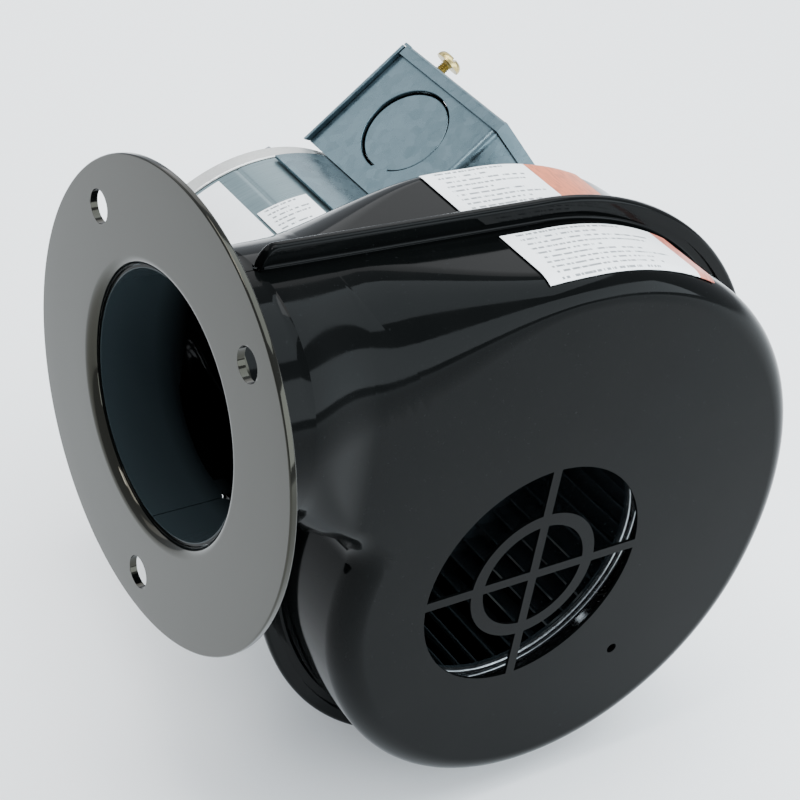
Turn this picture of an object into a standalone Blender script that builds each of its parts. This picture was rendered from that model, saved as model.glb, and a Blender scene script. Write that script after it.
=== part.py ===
"""Combustion fan: a centrifugal blower with a round outlet flange, driven by a small fan-cooled motor.

The origin is the centre of the outlet flange's face. Air leaves towards -X. The shaft lies along Y, with the
inlet at -Y and the motor at +Y, and +Z is up. All sizes are in metres.

The pieces, from the air's way in to the motor's back: a front housing half with a stamped inlet guard, a
squirrel-cage wheel, a rear housing half whose rim is crimped over the front one, the outlet flange, the motor
and the wiring box on the motor's side.
"""

import math
from collections import namedtuple

import bmesh
import bpy
from mathutils import Vector

# ---------------------------------------------------------------- driving dimensions
SHEET = 0.0009                      # housing steel
GAP = 0.0003                        # between pieces that touch
TAU = 2 * math.pi

FLANGE_R = 0.0635
FLANGE_SHEET = 0.002
FLANGE_COLLAR_END = 0.008           # how far the drawn collar reaches behind the face
FLANGE_HOLE_R = 0.0045
FLANGE_HOLES_AT = 0.0524            # bolt circle radius
FLANGE_HOLE_ANGLES = (45, 135, 270)  # degrees, from +Y towards +Z
NECK_R = 0.0355                     # outside of the outlet neck

AXIS_X, AXIS_Z = 0.1097, -0.0646    # where the shaft's line crosses the XZ plane
FRONT_DEPTH = 0.03175               # seam plane to inlet face
REAR_DEPTH = 0.035                  # seam plane to the wall that the motor bolts to
FRONT_CORNER, REAR_CORNER = 0.008, 0.006    # radius between face and scroll wall
CUTOFF_R = 0.0641                   # scroll radius at the tongue
SCROLL_GROWTH = 0.0308              # how far the scroll opens out from there
CROWN_R = 0.0972                    # scroll radius straight above the shaft
TONGUE_R = 0.0085                   # rounding of the tongue between neck and scroll
TONGUE_ANGLE = math.radians(157)
GROWTH_START, GROWTH_SPAN = math.radians(42), math.radians(143)
CROWN_START, CROWN_SPAN = math.radians(185), math.radians(108)
NECK_ROUND_TO = 0.024               # the neck is a plain tube up to here
BLEND_TO = 0.046                    # and has become flat-sided here
FRONT_SQUARE_TO, REAR_SQUARE_TO = AXIS_X, 0.103     # where the top corner has tightened to its scroll radius

REAR_OPENING_R = 0.017              # for the motor's bearing boss
NECK_END_X = 0.0027                 # the neck stops just behind the flange's face

HEM_START = 0.0245                  # the crimped seam begins here, behind the flange
HEM_HEIGHT = 0.0068
HEM_OVERLAP = 0.0038                # how far the rear half's rim folds back over the front one
HEM_HALF = 0.00165                  # half the seam's thickness

INLET_R = 0.0369
GUARD_BAR = 0.003
GUARD_RING = (0.0173, 0.0214)
DRAIN_HOLE_AT = (0.0397, -0.0417)   # X and Z from the shaft's line
DRAIN_HOLE_R = 0.0017
LABEL_SHEET = 0.0002
FRONT_LABEL = ((62, 98.2), (0.0042, 0.0272))    # degrees round the shaft; arc length from the seam
REAR_LABEL = ((66, 99.7), (0.0080, 0.0300))

WHEEL_R, WHEEL_BORE_R = 0.0484, 0.0404
WHEEL_FRONT, WHEEL_BACK = -0.022, 0.0256
BLADES = 40
BLADE_SHEET = 0.0006
BLADE_LEAN = 0.13                   # radians, bore to rim
WHEEL_SHEET = 0.0008
SHAFT_R = 0.00397
SHAFT_ENDS = (0.0060, 0.1275)
HUB_R, HUB_PLATE_R = 0.009, 0.016
SET_SCREW_Y = 0.014

SHELL_R, SHELL_BORE_R = 0.0506, 0.0494
SHELL_FRONT, SHELL_BACK = REAR_DEPTH + 0.0025, 0.1243
CORE = (0.056, 0.092)               # lamination stack, along Y
ROTOR_R, STATOR_BORE_R = 0.0245, 0.0250
STATOR_R, SLOT_FLOOR_R, SLOTS = 0.0490, 0.0360, 12
BEARING_R, BEARING_LENGTH = 0.0076, 0.013
MOTOR_END = 0.1308                  # outer face of the rear shield
VENTS, VENT_REACH = 8, (0.0250, 0.0400)
LEAD_HOLE_Y, LEAD_HOLE_R = 0.103, 0.0050
BOLTS_AT, BOLT_R = 0.0452, 0.0021
BOLT_ANGLES = (86, 176, 266, 356)   # degrees, from +X towards +Z

BOX_ANGLE = math.radians(40.9)      # the way the wiring box points, from +X towards +Z
BOX_FRONT, BOX_BACK = 0.0784, 0.1335
BOX_HALF = 0.0254                   # half its width
BOX_TOP = 0.0897                    # rim of the box, from the shaft's line
BOX_SHEET = 0.0012
BOX_BEND = 0.0025
BOX_BOTTOM = 0.036                  # the walls start here, before the motor's round is cut away
SADDLE = (0.0513, 0.0523)           # inner and outer radius of the saddle under the box
SADDLE_HALF_ANGLE = math.radians(50)
SADDLE_ENDS = (0.0735, 0.1230)
KNOCKOUT_AT = (0.0686, 0.1061)      # out from the shaft's line, and along Y
KNOCKOUT_R, KNOCKOUT_GAP = 0.0149, 0.0008
KNOCKOUT_TIE = (195, 24)            # degrees: where the tie is, and how wide
COVER_LIP = 0.0032
COVER_SHEET = 0.001
COVER_SCREW_AT = (0.1240, 0.0160)   # along Y, and sideways
COVER_SCREW_OUT = 0.0060            # the screw isn't driven home
GROUND_SCREW_AT = (0.0700, 0.1060)
SCREW_R = 0.0018
LEAD_R = 0.0011
LEAD_PATH = (                       # out from the shaft's line, along Y, and to the lead's own side
    (0.0435, 0.1045, 0.0014), (0.0470, 0.1032, 0.0014), (0.0545, 0.1030, 0.0014), (0.0640, 0.0980, 0.0040),
    (0.0740, 0.0930, 0.0080), (0.0800, 0.0960, 0.0110), (0.0800, 0.1060, 0.0120), (0.0760, 0.1150, 0.0115),
    (0.0690, 0.1180, 0.0105),
)

# ---------------------------------------------------------------- scene, materials, helpers
FINISHES = {
    "black_enamel": ((0.012, 0.014, 0.015), 0.0, 0.22),
    "motor_paint": ((0.42, 0.44, 0.45), 0.6, 0.38),
    "zinc": ((0.45, 0.50, 0.53), 0.9, 0.35),
    "aluminium": ((0.70, 0.71, 0.72), 0.95, 0.4),
    "steel": ((0.50, 0.50, 0.51), 1.0, 0.3),
    "laminations": ((0.20, 0.20, 0.21), 0.8, 0.5),
    "copper": ((0.55, 0.22, 0.09), 0.7, 0.4),
    "bronze": ((0.48, 0.31, 0.14), 0.9, 0.4),
    "brass": ((0.66, 0.50, 0.20), 1.0, 0.3),
    "rubber": ((0.02, 0.02, 0.02), 0.0, 0.8),
    "label": ((0.85, 0.86, 0.86), 0.0, 0.5),
    "black_lead": ((0.02, 0.02, 0.02), 0.0, 0.5),
    "white_lead": ((0.8, 0.8, 0.78), 0.0, 0.5),
    "green_screw": ((0.03, 0.22, 0.08), 0.3, 0.4),
}


def clear_scene():
    for thing in list(bpy.data.objects):
        bpy.data.objects.remove(thing)


def make_finishes():
    made = {}
    for name, (colour, metallic, roughness) in FINISHES.items():
        finish = bpy.data.materials.new(name)
        finish.use_nodes = True
        shader = finish.node_tree.nodes["Principled BSDF"]
        shader.inputs["Base Color"].default_value = (*colour, 1)
        shader.inputs["Metallic"].default_value = metallic
        shader.inputs["Roughness"].default_value = roughness
        made[name] = finish
    return made


def add(name, bm, finish, parent=None, recalculate=True):
    """Turns a bmesh into a named object with its finish."""
    bmesh.ops.remove_doubles(bm, verts=bm.verts, dist=1e-6)
    bmesh.ops.dissolve_degenerate(bm, edges=bm.edges, dist=1e-7)
    if recalculate:
        bmesh.ops.recalc_face_normals(bm, faces=bm.faces)
    mesh = bpy.data.meshes.new(name)
    bm.to_mesh(mesh)
    bm.free()
    mesh.shade_smooth()
    mesh.set_sharp_from_angle(angle=math.radians(35))
    thing = bpy.data.objects.new(name, mesh)
    bpy.context.scene.collection.objects.link(thing)
    thing.parent = parent
    if finish:
        mesh.materials.append(finishes[finish])
    return thing


def empty(name, place, turn=(0, 0, 0)):
    thing = bpy.data.objects.new(name, None)
    thing.location = place
    thing.rotation_euler = turn
    bpy.context.scene.collection.objects.link(thing)
    return thing


def boolean(target, tool, operation="DIFFERENCE"):
    """Cuts or joins with a hidden tool object."""
    tool.hide_render = True
    tool.display_type = "WIRE"
    modifier = target.modifiers.new(operation.lower() + "_" + tool.name, "BOOLEAN")
    modifier.operation = operation
    modifier.solver = "EXACT"
    modifier.object = tool


def turned(name, profile, finish, parent, steps=36, axis="Y"):
    """A closed profile of (radius, place along the axis) points, spun a full turn about the parent's axis."""
    bm = bmesh.new()
    place = {
        "X": lambda r, along: (along, 0, r),
        "Y": lambda r, along: (r, along, 0),
    }[axis]
    verts = [bm.verts.new(place(r, along)) for r, along in profile]
    edges = [bm.edges.new((verts[i - 1], verts[i])) for i in range(len(verts))]
    direction = Vector((1, 0, 0)) if axis == "X" else Vector((0, 1, 0))
    bmesh.ops.spin(bm, geom=verts + edges, cent=(0, 0, 0), axis=direction, angle=TAU,
                   steps=steps, use_merge=True, use_duplicate=False)
    return add(name, bm, finish, parent)


def prism(bm, outline, start, end, axis="Y"):
    """Adds a capped prism to a bmesh: an outline of two coordinates, from start to end along the axis."""
    place = {
        "X": lambda point, along: (along, point[0], point[1]),
        "Y": lambda point, along: (point[0], along, point[1]),
        "Z": lambda point, along: (point[0], point[1], along),
    }[axis]
    low = [bm.verts.new(place(point, start)) for point in outline]
    high = [bm.verts.new(place(point, end)) for point in outline]
    bm.faces.new(low)
    bm.faces.new(high[::-1])
    for i in range(len(outline)):
        bm.faces.new((low[i - 1], high[i - 1], high[i], low[i]))


def extruded(name, outline, start, end, finish, parent=None, axis="Y"):
    """One object: a closed outline pushed from start to end along the axis."""
    bm = bmesh.new()
    prism(bm, outline, start, end, axis)
    return add(name, bm, finish, parent)


def rod(bm, start, end, radius, sides=12):
    """A capped cylinder from start to end, added to a bmesh."""
    start, end = Vector(start), Vector(end)
    way = (end - start).normalized()
    side = way.orthogonal().normalized()
    other = way.cross(side)
    rings = []
    for centre in (start, end):
        spokes = (side * math.cos(TAU * i / sides) + other * math.sin(TAU * i / sides) for i in range(sides))
        rings.append([bm.verts.new(centre + radius * spoke) for spoke in spokes])
    bm.faces.new(rings[0][::-1])
    bm.faces.new(rings[1])
    for i in range(sides):
        bm.faces.new((rings[0][i - 1], rings[0][i], rings[1][i], rings[1][i - 1]))


def rods(name, runs, finish, parent, sides=12):
    """One object of capped cylinders: (start, end, radius) each. Cutters may hold several."""
    bm = bmesh.new()
    for start, end, radius in runs:
        rod(bm, start, end, radius, sides)
    return add(name, bm, finish, parent)


def block(name, low, high, finish, parent=None):
    bm = bmesh.new()
    bmesh.ops.create_cube(bm, size=1)
    for vert in bm.verts:
        vert.co = [low[i] if vert.co[i] < 0 else high[i] for i in range(3)]
    return add(name, bm, finish, parent)


def polar(radius, angle):
    return radius * math.cos(angle), radius * math.sin(angle)


def ease(t):
    """0 to 1 with level ends."""
    t = min(max(t, 0), 1)
    return t * t * (3 - 2 * t)


# ---------------------------------------------------------------- shape of the housing
TONGUE_X = AXIS_X - math.sqrt((CUTOFF_R + TONGUE_R) ** 2 - (AXIS_Z + NECK_R + TONGUE_R) ** 2)
TONGUE_Z = -NECK_R - TONGUE_R
TONGUE_END = math.atan2(TONGUE_Z - AXIS_Z, TONGUE_X - AXIS_X)
# A line from the shaft that grazes the tongue; the neck opens into the scroll where it touches.
MOUTH_ANGLE = TONGUE_END - math.asin(TONGUE_R / (CUTOFF_R + TONGUE_R))
MOUTH_REACH = math.sqrt((CUTOFF_R + TONGUE_R) ** 2 - TONGUE_R ** 2)
MOUTH_X = AXIS_X + MOUTH_REACH * math.cos(MOUTH_ANGLE)
NECK_XS = (MOUTH_X, (MOUTH_X + TONGUE_X) / 2, TONGUE_X, 0.035, 0.030, HEM_START, HEM_START - 0.0012, 0.012,
           NECK_END_X)

# A pressed half: which way it faces, how deep it is, its corner radius and where the top corner reaches that.
Pressing = namedtuple("Pressing", "way depth corner square_to")
FRONT = Pressing(-1, FRONT_DEPTH, FRONT_CORNER, FRONT_SQUARE_TO)
REAR = Pressing(1, REAR_DEPTH, REAR_CORNER, REAR_SQUARE_TO)


def crown_z(x):
    """Height of the straight top wall, from the neck's end to above the shaft."""
    share = min(max((x - HEM_START) / (AXIS_X - HEM_START), 0), 1)
    return NECK_R + (AXIS_Z + CROWN_R - NECK_R) * share


def scroll_radius(angle):
    swept = angle - TONGUE_ANGLE
    opened = SCROLL_GROWTH * ease((swept - GROWTH_START) / GROWTH_SPAN)
    crown = (CROWN_R - CUTOFF_R - SCROLL_GROWTH) * ease((swept - CROWN_START) / CROWN_SPAN)
    return CUTOFF_R + opened + crown


def wall_radius(angle):
    """Distance from the shaft's line to the wall, from the tongue round to the mouth's top."""
    if angle < TONGUE_END:
        reach = math.hypot(TONGUE_X - AXIS_X, TONGUE_Z - AXIS_Z)
        offset = angle - TONGUE_END
        return reach * math.cos(offset) - math.sqrt(max(TONGUE_R ** 2 - (reach * math.sin(offset)) ** 2, 0))
    if angle <= 2.5 * math.pi:
        return scroll_radius(angle)
    slope = (crown_z(MOUTH_X) - crown_z(AXIS_X)) / (MOUTH_X - AXIS_X)
    return CROWN_R / (math.sin(angle) - slope * math.cos(angle))


def neck_floor_z(x):
    """Height of the neck's lower wall; it rounds down a little over the tongue."""
    over = min(max(x - TONGUE_X, 0), TONGUE_R)
    return TONGUE_Z + math.sqrt(TONGUE_R ** 2 - over ** 2)


def squareness(x):
    """0 where the neck is a round tube, 1 where the housing is flat-sided."""
    return ease((x - NECK_ROUND_TO) / (BLEND_TO - NECK_ROUND_TO))


def face_depth(x, half):
    return NECK_R + (half.depth - NECK_R) * squareness(x)


def top_corner(x, half):
    return NECK_R + (half.corner - NECK_R) * ease((x - NECK_ROUND_TO) / (half.square_to - NECK_ROUND_TO))


def floor_corner(x, half):
    return NECK_R + (half.corner - NECK_R) * squareness(x)


def seam_y(x, rim):
    """Where a half's wall starts, from the seam plane: a plain butt joint on the neck, then the hem."""
    return rim if x >= HEM_START else GAP / 2


def rounded(distance, corner, depth, start):
    """Depth of the skin at a distance in from a wall whose corner has the given radius."""
    low = max(depth - corner, start + 0.0006)
    inside = 1 - min(distance / corner, 1)
    return low + (depth - low) * math.sqrt(1 - inside * inside)


def skin_depth(x, z, half, rim):
    """Depth of a half's skin from the seam plane, at a point of the neck or of its mouth."""
    start = seam_y(x, rim)
    off_floor = math.hypot(max(x - TONGUE_X, 0), z - TONGUE_Z) - TONGUE_R
    reach = face_depth(x, half)
    under_top = rounded(max(crown_z(x) - z, 0), top_corner(x, half), reach, start)
    over_floor = rounded(max(off_floor, 0), floor_corner(x, half), reach, start)
    return min(under_top, over_floor)


def half_skin(half, hem, rim, middle_r, ray_step, corner_steps, face_steps, mouth_steps, neck_xs):
    """The outer skin of a housing half, as grids of (x, depth, z) points from the rim inwards.

    hem is a list of (stand-off from the wall, depth) rows outside the wall, outermost first. The scroll is a
    fan of rays about the shaft's line; the neck is a list of sections with the hem above and below each; the
    two meet along the mouth.
    """
    last = TAU + math.atan2(crown_z(MOUTH_X) - AXIS_Z, MOUTH_X - AXIS_X)
    count = round((last - TONGUE_END) / ray_step)
    angles = tongue_angles(4) + [TONGUE_END + (last - TONGUE_END) * i / count for i in range(count + 1)]
    scroll = [scroll_ray(angle, half, hem, rim, middle_r, corner_steps, face_steps) for angle in angles]
    mouth = mouth_rays(scroll, len(hem) + 1, half, rim, middle_r, mouth_steps)
    neck = []
    for x in neck_xs:
        section = [(x, skin_depth(x, z, half, rim), z) for z in section_heights(x, mouth_steps)]
        if x == MOUTH_X:
            section = [ray[0] for ray in mouth]
        away_x, away_z = tongue_normal(x, neck_floor_z(x))
        above = [(x, y, crown_z(x) + out) for out, y in hem_rows(x, hem, rim)]
        below = [(x + out * away_x, y, neck_floor_z(x) + out * away_z) for out, y in hem_rows(x, hem, rim)]
        neck.append((above, section, below))
    return scroll, mouth, neck


def section_heights(x, steps):
    """Heights across the neck, from top wall to floor, closer together at both ends."""
    drop = neck_floor_z(x) - crown_z(x)
    return [crown_z(x) + drop * (1 - math.cos(math.pi * j / steps)) / 2 for j in range(steps + 1)]


def mouth_rays(scroll, edge, half, rim, middle_r, steps):
    """The fan of rays from the mouth to the middle, spaced along each ray as its two neighbours are."""
    top_ray, floor_ray = scroll[-1][edge:], scroll[0][edge:]
    spacing = []
    for ray in (top_ray, floor_ray):
        reaches = [math.hypot(x - AXIS_X, z - AXIS_Z) - middle_r for x, y, z in ray]
        spacing.append([reach / reaches[0] for reach in reaches])
    mouth = [top_ray]
    heights = section_heights(MOUTH_X, steps)
    for z in heights[1:-1]:
        share = (z - heights[0]) / (heights[-1] - heights[0])
        reach = math.hypot(MOUTH_X - AXIS_X, z - AXIS_Z)
        angle = math.atan2(z - AXIS_Z, MOUTH_X - AXIS_X)
        ray = []
        for top, floor in zip(*spacing):
            across, up = polar(middle_r + (reach - middle_r) * (top + (floor - top) * share), angle)
            ray.append((AXIS_X + across, skin_depth(AXIS_X + across, AXIS_Z + up, half, rim), AXIS_Z + up))
        mouth.append(ray)
    mouth.append(floor_ray)
    return mouth


def hem_rows(x, hem, rim):
    """The rows outside the wall at a station of the neck: all of the hem, or only the wall's edge."""
    if x >= HEM_START:
        return list(hem) + [(0, rim)]
    return [(0, seam_y(x, rim))]


def tongue_normal(x, z):
    """The way out of the housing on the neck's floor and round the tongue."""
    way = Vector((TONGUE_X - max(x, TONGUE_X), TONGUE_Z - z)).normalized()
    return way.x, way.y


def tongue_angles(steps):
    """Ray angles whose wall points lie evenly round the tongue, from the mouth on."""
    facing = math.atan2(AXIS_Z - TONGUE_Z, AXIS_X - TONGUE_X)
    turn = math.pi / 2 - (TONGUE_END - MOUTH_ANGLE)
    angles = []
    for i in range(steps):
        x, z = polar(TONGUE_R, facing + turn * (1 - i / steps))
        angles.append(math.atan2(TONGUE_Z + z - AXIS_Z, TONGUE_X + x - AXIS_X))
    return angles


def hem_direction(angle, x, z):
    """The way the hem stands out from the wall where a ray at this angle meets it."""
    if angle < TONGUE_END:
        return tongue_normal(x, z)
    if angle > 2.5 * math.pi:
        return 0, 1
    return polar(1, angle)


def scroll_ray(angle, half, hem, rim, middle_r, corner_steps, face_steps):
    """One line of skin points from the hem's edge, down the wall and across the face to the middle."""
    reach = wall_radius(angle)
    x, z = polar(1, angle)
    wall_x, wall_z = AXIS_X + reach * x, AXIS_Z + reach * z
    corner = corner_at(angle, half)
    away_x, away_z = hem_direction(angle, wall_x, wall_z)
    ray = [(wall_x + out * away_x, y, wall_z + out * away_z) for out, y in list(hem) + [(0, rim)]]
    places = [corner * (1 - math.cos(math.pi / 2 * k / corner_steps)) for k in range(corner_steps + 1)]
    inner = reach - corner
    places += [corner + (inner - middle_r) * k / face_steps for k in range(1, face_steps + 1)]
    for inwards in places:
        here_x, here_z = AXIS_X + (reach - inwards) * x, AXIS_Z + (reach - inwards) * z
        if TONGUE_END <= angle <= 2.5 * math.pi:
            y = rounded(inwards, corner, half.depth, rim)
        else:
            y = skin_depth(here_x, here_z, half, rim)
        ray.append((here_x, y, here_z))
    return ray


def corner_at(angle, half):
    """Radius between the wall and the face, where a ray at this angle meets the wall."""
    wall_x = AXIS_X + wall_radius(angle) * math.cos(angle)
    if angle > 2.5 * math.pi:
        return top_corner(wall_x, half)
    return half.corner if angle >= TONGUE_END else floor_corner(wall_x, half)


def fill_grid(bm, rows, way):
    """Faces between neighbouring rows of points; way mirrors them in the seam plane."""
    verts = [[bm.verts.new((x, y * way, z)) for x, y, z in row] for row in rows]
    for a, b in zip(verts, verts[1:]):
        for i in range(len(a) - 1):
            bm.faces.new((a[i], a[i + 1], b[i + 1], b[i]))


def housing_half(name, half, hem, rim, middle_r, closed):
    """A pressed half: its skin, given thickness inwards."""
    scroll, mouth, neck = half_skin(half, hem, rim, middle_r, math.radians(10), 3, 1, 10, NECK_XS)
    bm = bmesh.new()
    fill_grid(bm, scroll, half.way)
    fill_grid(bm, mouth, half.way)
    fill_grid(bm, [section for above, section, below in neck], half.way)
    for one, two in zip(neck, neck[1:]):
        for side, edge in ((0, 0), (2, -1)):
            strips = [rows[side] + [rows[1][edge]] for rows in (one, two)]
            length = min(len(strip) for strip in strips)
            fill_grid(bm, [strip[-length:] for strip in strips], half.way)
    bmesh.ops.remove_doubles(bm, verts=bm.verts, dist=1e-6)
    if closed:
        middle = [edge for edge in bm.edges if edge.is_boundary and all(
            abs(math.hypot(vert.co.x - AXIS_X, vert.co.z - AXIS_Z) - middle_r) < 1e-4 for vert in edge.verts)]
        bmesh.ops.holes_fill(bm, edges=middle, sides=0)
    bmesh.ops.recalc_face_normals(bm, faces=bm.faces)
    face = max(bm.faces, key=lambda face: face.calc_center_median().y * half.way)
    if face.normal.y * half.way < 0:
        bmesh.ops.reverse_faces(bm, faces=bm.faces)
    thing = add(name, bm, "black_enamel", recalculate=False)
    thicken = thing.modifiers.new("sheet", "SOLIDIFY")
    thicken.thickness = SHEET
    thicken.offset = -1
    thicken.use_even_offset = True
    return thing


def sector(inner, outer, bar, quadrant, steps):
    """Outline of an opening of the inlet guard: a quarter ring, less half a bar along each straight side."""
    half = bar / 2
    points = []
    for radius, order in ((outer, 1), (inner, -1)):
        if radius <= half * 1.5:
            points.append((half, half))
            continue
        start = math.asin(half / radius)
        angles = [start + (math.pi / 2 - 2 * start) * i / steps for i in range(steps + 1)]
        points += [polar(radius, angle) for angle in angles[::order]]
    along, across = polar(1, quadrant * math.pi / 2)
    return [(x * along - z * across, x * across + z * along) for x, z in points]


# ---------------------------------------------------------------- the pieces: housing
def make_front_half():
    """Its rim stands up inside the fold; the inlet guard's openings are stamped through its face."""
    rim = HEM_HALF - SHEET - GAP
    hem = [(HEM_HEIGHT - SHEET - GAP, rim)]
    half = housing_half("front_housing_half", FRONT, hem, rim, INLET_R + 0.003, True)
    bm = bmesh.new()
    through = (-FRONT_DEPTH - 0.002, -FRONT_DEPTH + 0.003)
    for inner, outer in ((0, GUARD_RING[0]), (GUARD_RING[1], INLET_R)):
        for quadrant in range(4):
            prism(bm, sector(inner, outer, GUARD_BAR, quadrant, 6), *through)
    x, z = DRAIN_HOLE_AT
    rod(bm, (x, through[0], z), (x, through[1], z), DRAIN_HOLE_R, 10)
    boolean(half, add("inlet_openings", bm, None, shaft_line))


def make_rear_half():
    """Its rim is folded forwards over the front half's."""
    hem = [(HEM_HEIGHT - HEM_OVERLAP, -HEM_HALF), (HEM_HEIGHT, -HEM_HALF), (HEM_HEIGHT, HEM_HALF)]
    half = housing_half("rear_housing_half", REAR, hem, HEM_HALF, REAR_OPENING_R, False)
    boolean(half, bolt_holes)


def make_flange():
    """A thick ring whose inner edge is drawn back into a short collar round the neck."""
    bore = NECK_R + GAP
    face_round, back_round = 0.0028, 0.001
    face, back = [], []
    for i in range(4):
        inwards, along = 1 - math.sin(math.pi / 6 * i), 1 - math.cos(math.pi / 6 * i)
        face.append((bore + face_round * inwards, face_round * along))
        back.append((bore + FLANGE_SHEET + back_round * inwards, FLANGE_SHEET + back_round * along))
    profile = [(FLANGE_R, FLANGE_SHEET), (FLANGE_R, 0)] + face
    profile += [(bore, FLANGE_COLLAR_END), (bore + FLANGE_SHEET, FLANGE_COLLAR_END)] + back[::-1]
    flange = turned("outlet_flange", profile, "black_enamel", None, 44, "X")
    runs = []
    for degrees in FLANGE_HOLE_ANGLES:
        y, z = polar(FLANGE_HOLES_AT, math.radians(degrees))
        runs.append(((-0.01, y, z), (0.02, y, z), FLANGE_HOLE_R))
    boolean(flange, rods("flange_holes", runs, None, None, 16))


def wall_label(name, half, place):
    """A printed label on the scroll's top wall, turning a little way down onto the corner."""
    degrees, arcs = place
    rows, columns = 10, 7
    bm = bmesh.new()
    grids = []
    for stand_off in (GAP, GAP + LABEL_SHEET):
        grid = []
        for i in range(rows + 1):
            angle = TAU + math.radians(degrees[0] + (degrees[1] - degrees[0]) * i / rows)
            line = []
            for j in range(columns + 1):
                arc = arcs[0] + (arcs[1] - arcs[0]) * j / columns
                inwards, depth = wall_point(arc, angle, half, stand_off)
                x, z = polar(wall_radius(angle) - inwards, angle)
                line.append(bm.verts.new((x, depth * half.way, z)))
            grid.append(line)
        grids.append(grid)
    low, high = grids
    for i in range(rows):
        for j in range(columns):
            for grid in grids:
                bm.faces.new((grid[i][j], grid[i + 1][j], grid[i + 1][j + 1], grid[i][j + 1]))
    for i in range(rows):
        for j in (0, columns):
            bm.faces.new((low[i][j], low[i + 1][j], high[i + 1][j], high[i][j]))
    for j in range(columns):
        for i in (0, rows):
            bm.faces.new((low[i][j], low[i][j + 1], high[i][j + 1], high[i][j]))
    return add(name, bm, "label", shaft_line)


def wall_point(arc, angle, half, stand_off):
    """How far inwards and how deep a point lies, by its arc length from the seam over the wall and corner."""
    corner = corner_at(angle, half)
    turn = max(arc - (half.depth - corner), 0) / corner
    depth = min(arc, half.depth - corner) + (corner + stand_off) * math.sin(turn)
    return corner - (corner + stand_off) * math.cos(turn), depth


# ---------------------------------------------------------------- the pieces: wheel
def make_wheel():
    """Forty blades on two rims, closed by a back plate and an end ring whose edges turn over the rims."""
    inner, outer, turn_over = WHEEL_R + GAP, WHEEL_R + GAP + WHEEL_SHEET, 0.004
    plate, face = WHEEL_BACK + GAP, WHEEL_BACK + GAP + WHEEL_SHEET
    turned("wheel_back_plate", [
        (HUB_R + 0.0005, plate), (inner, plate), (inner, WHEEL_BACK - turn_over),
        (outer, WHEEL_BACK - turn_over), (outer, face), (HUB_R + 0.0005, face),
    ], "black_enamel", wheel_line, 40)
    ring, face = WHEEL_FRONT - GAP, WHEEL_FRONT - GAP - WHEEL_SHEET
    turned("wheel_end_ring", [
        (WHEEL_BORE_R, ring), (WHEEL_BORE_R, face), (outer, face), (outer, WHEEL_FRONT + turn_over),
        (inner, WHEEL_FRONT + turn_over), (inner, ring),
    ], "black_enamel", wheel_line, 40)
    rims = []
    for name, start in (("front", WHEEL_FRONT), ("rear", WHEEL_BACK - WHEEL_SHEET)):
        end = start + WHEEL_SHEET
        profile = [(WHEEL_BORE_R, start), (WHEEL_R, start), (WHEEL_R, end), (WHEEL_BORE_R, end)]
        rims.append(turned("wheel_rim_" + name, profile, None, wheel_line, 40))
    bm = bmesh.new()
    for blade in range(BLADES):
        outline = blade_outline(TAU * (blade + 0.5) / BLADES)
        prism(bm, outline, WHEEL_FRONT + WHEEL_SHEET / 2, WHEEL_BACK - WHEEL_SHEET / 2)
    blades = add("wheel_blade_strip", bm, "black_enamel", wheel_line)
    for tool in rims:
        boolean(blades, tool, "UNION")


def blade_outline(turn):
    """A forward-curved blade's section: an arc from just outside the wheel's bore to just inside its rim."""
    steps, inset = 3, 0.0006
    points = []
    for side in (1, -1):
        for i in range(steps + 1)[::side]:
            share = i / steps
            radius = WHEEL_BORE_R + inset + (WHEEL_R - WHEEL_BORE_R - 2 * inset) * share
            points.append(polar(radius, turn + BLADE_LEAN * share * share + side * BLADE_SHEET / 2 / radius))
    return points


def make_hub():
    """A bored hub with a round foot against the back plate, held on the shaft by a socket set screw."""
    bore, start, end, foot = SHAFT_R + 0.0001, 0.008, 0.0295, 0.0245
    hub = turned("wheel_hub", [
        (bore, start), (HUB_R - 0.0002, start), (HUB_R, foot), (HUB_PLATE_R, foot), (HUB_PLATE_R, WHEEL_BACK),
        (HUB_R, WHEEL_BACK), (HUB_R, end), (bore, end),
    ], "aluminium", wheel_line, 24)
    hole = [((0, SET_SCREW_Y, 0.0042), (0, SET_SCREW_Y, 0.012), 0.0024)]
    boolean(hub, rods("set_screw_hole", hole, None, wheel_line))
    shank = [((0, SET_SCREW_Y, 0.0047), (0, SET_SCREW_Y, 0.0088), 0.0020)]
    screw = rods("hub_set_screw", shank, "steel", wheel_line)
    socket = [((0, SET_SCREW_Y, 0.0068), (0, SET_SCREW_Y, 0.0100), 0.0010)]
    boolean(screw, rods("set_screw_socket", socket, None, wheel_line, 6))


# ---------------------------------------------------------------- the pieces: motor
def make_rotor():
    rods("motor_shaft", [((0, SHAFT_ENDS[0], 0), (0, SHAFT_ENDS[1], 0), SHAFT_R)], "steel", wheel_line, 24)
    bore = SHAFT_R + 0.0002
    profile = [(bore, CORE[0]), (ROTOR_R, CORE[0]), (ROTOR_R, CORE[1]), (bore, CORE[1])]
    turned("rotor_core", profile, "laminations", wheel_line, 32)
    for name, start, way in (("front", CORE[0] - GAP, -1), ("rear", CORE[1] + GAP, 1)):
        end = start + way * 0.0045
        profile = [(0.012, start), (ROTOR_R - 0.0015, start), (ROTOR_R - 0.002, end), (0.0125, end)]
        turned("rotor_end_ring_" + name, profile, "aluminium", wheel_line, 28)
    for name, start in (("front", 0.0520), ("rear", 0.1088)):
        end = start + 0.0012
        profile = [(0.0042, start), (BEARING_R + 0.0002, start), (BEARING_R + 0.0002, end), (0.0042, end)]
        turned("thrust_washer_" + name, profile, "bronze", wheel_line, 20)


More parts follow.
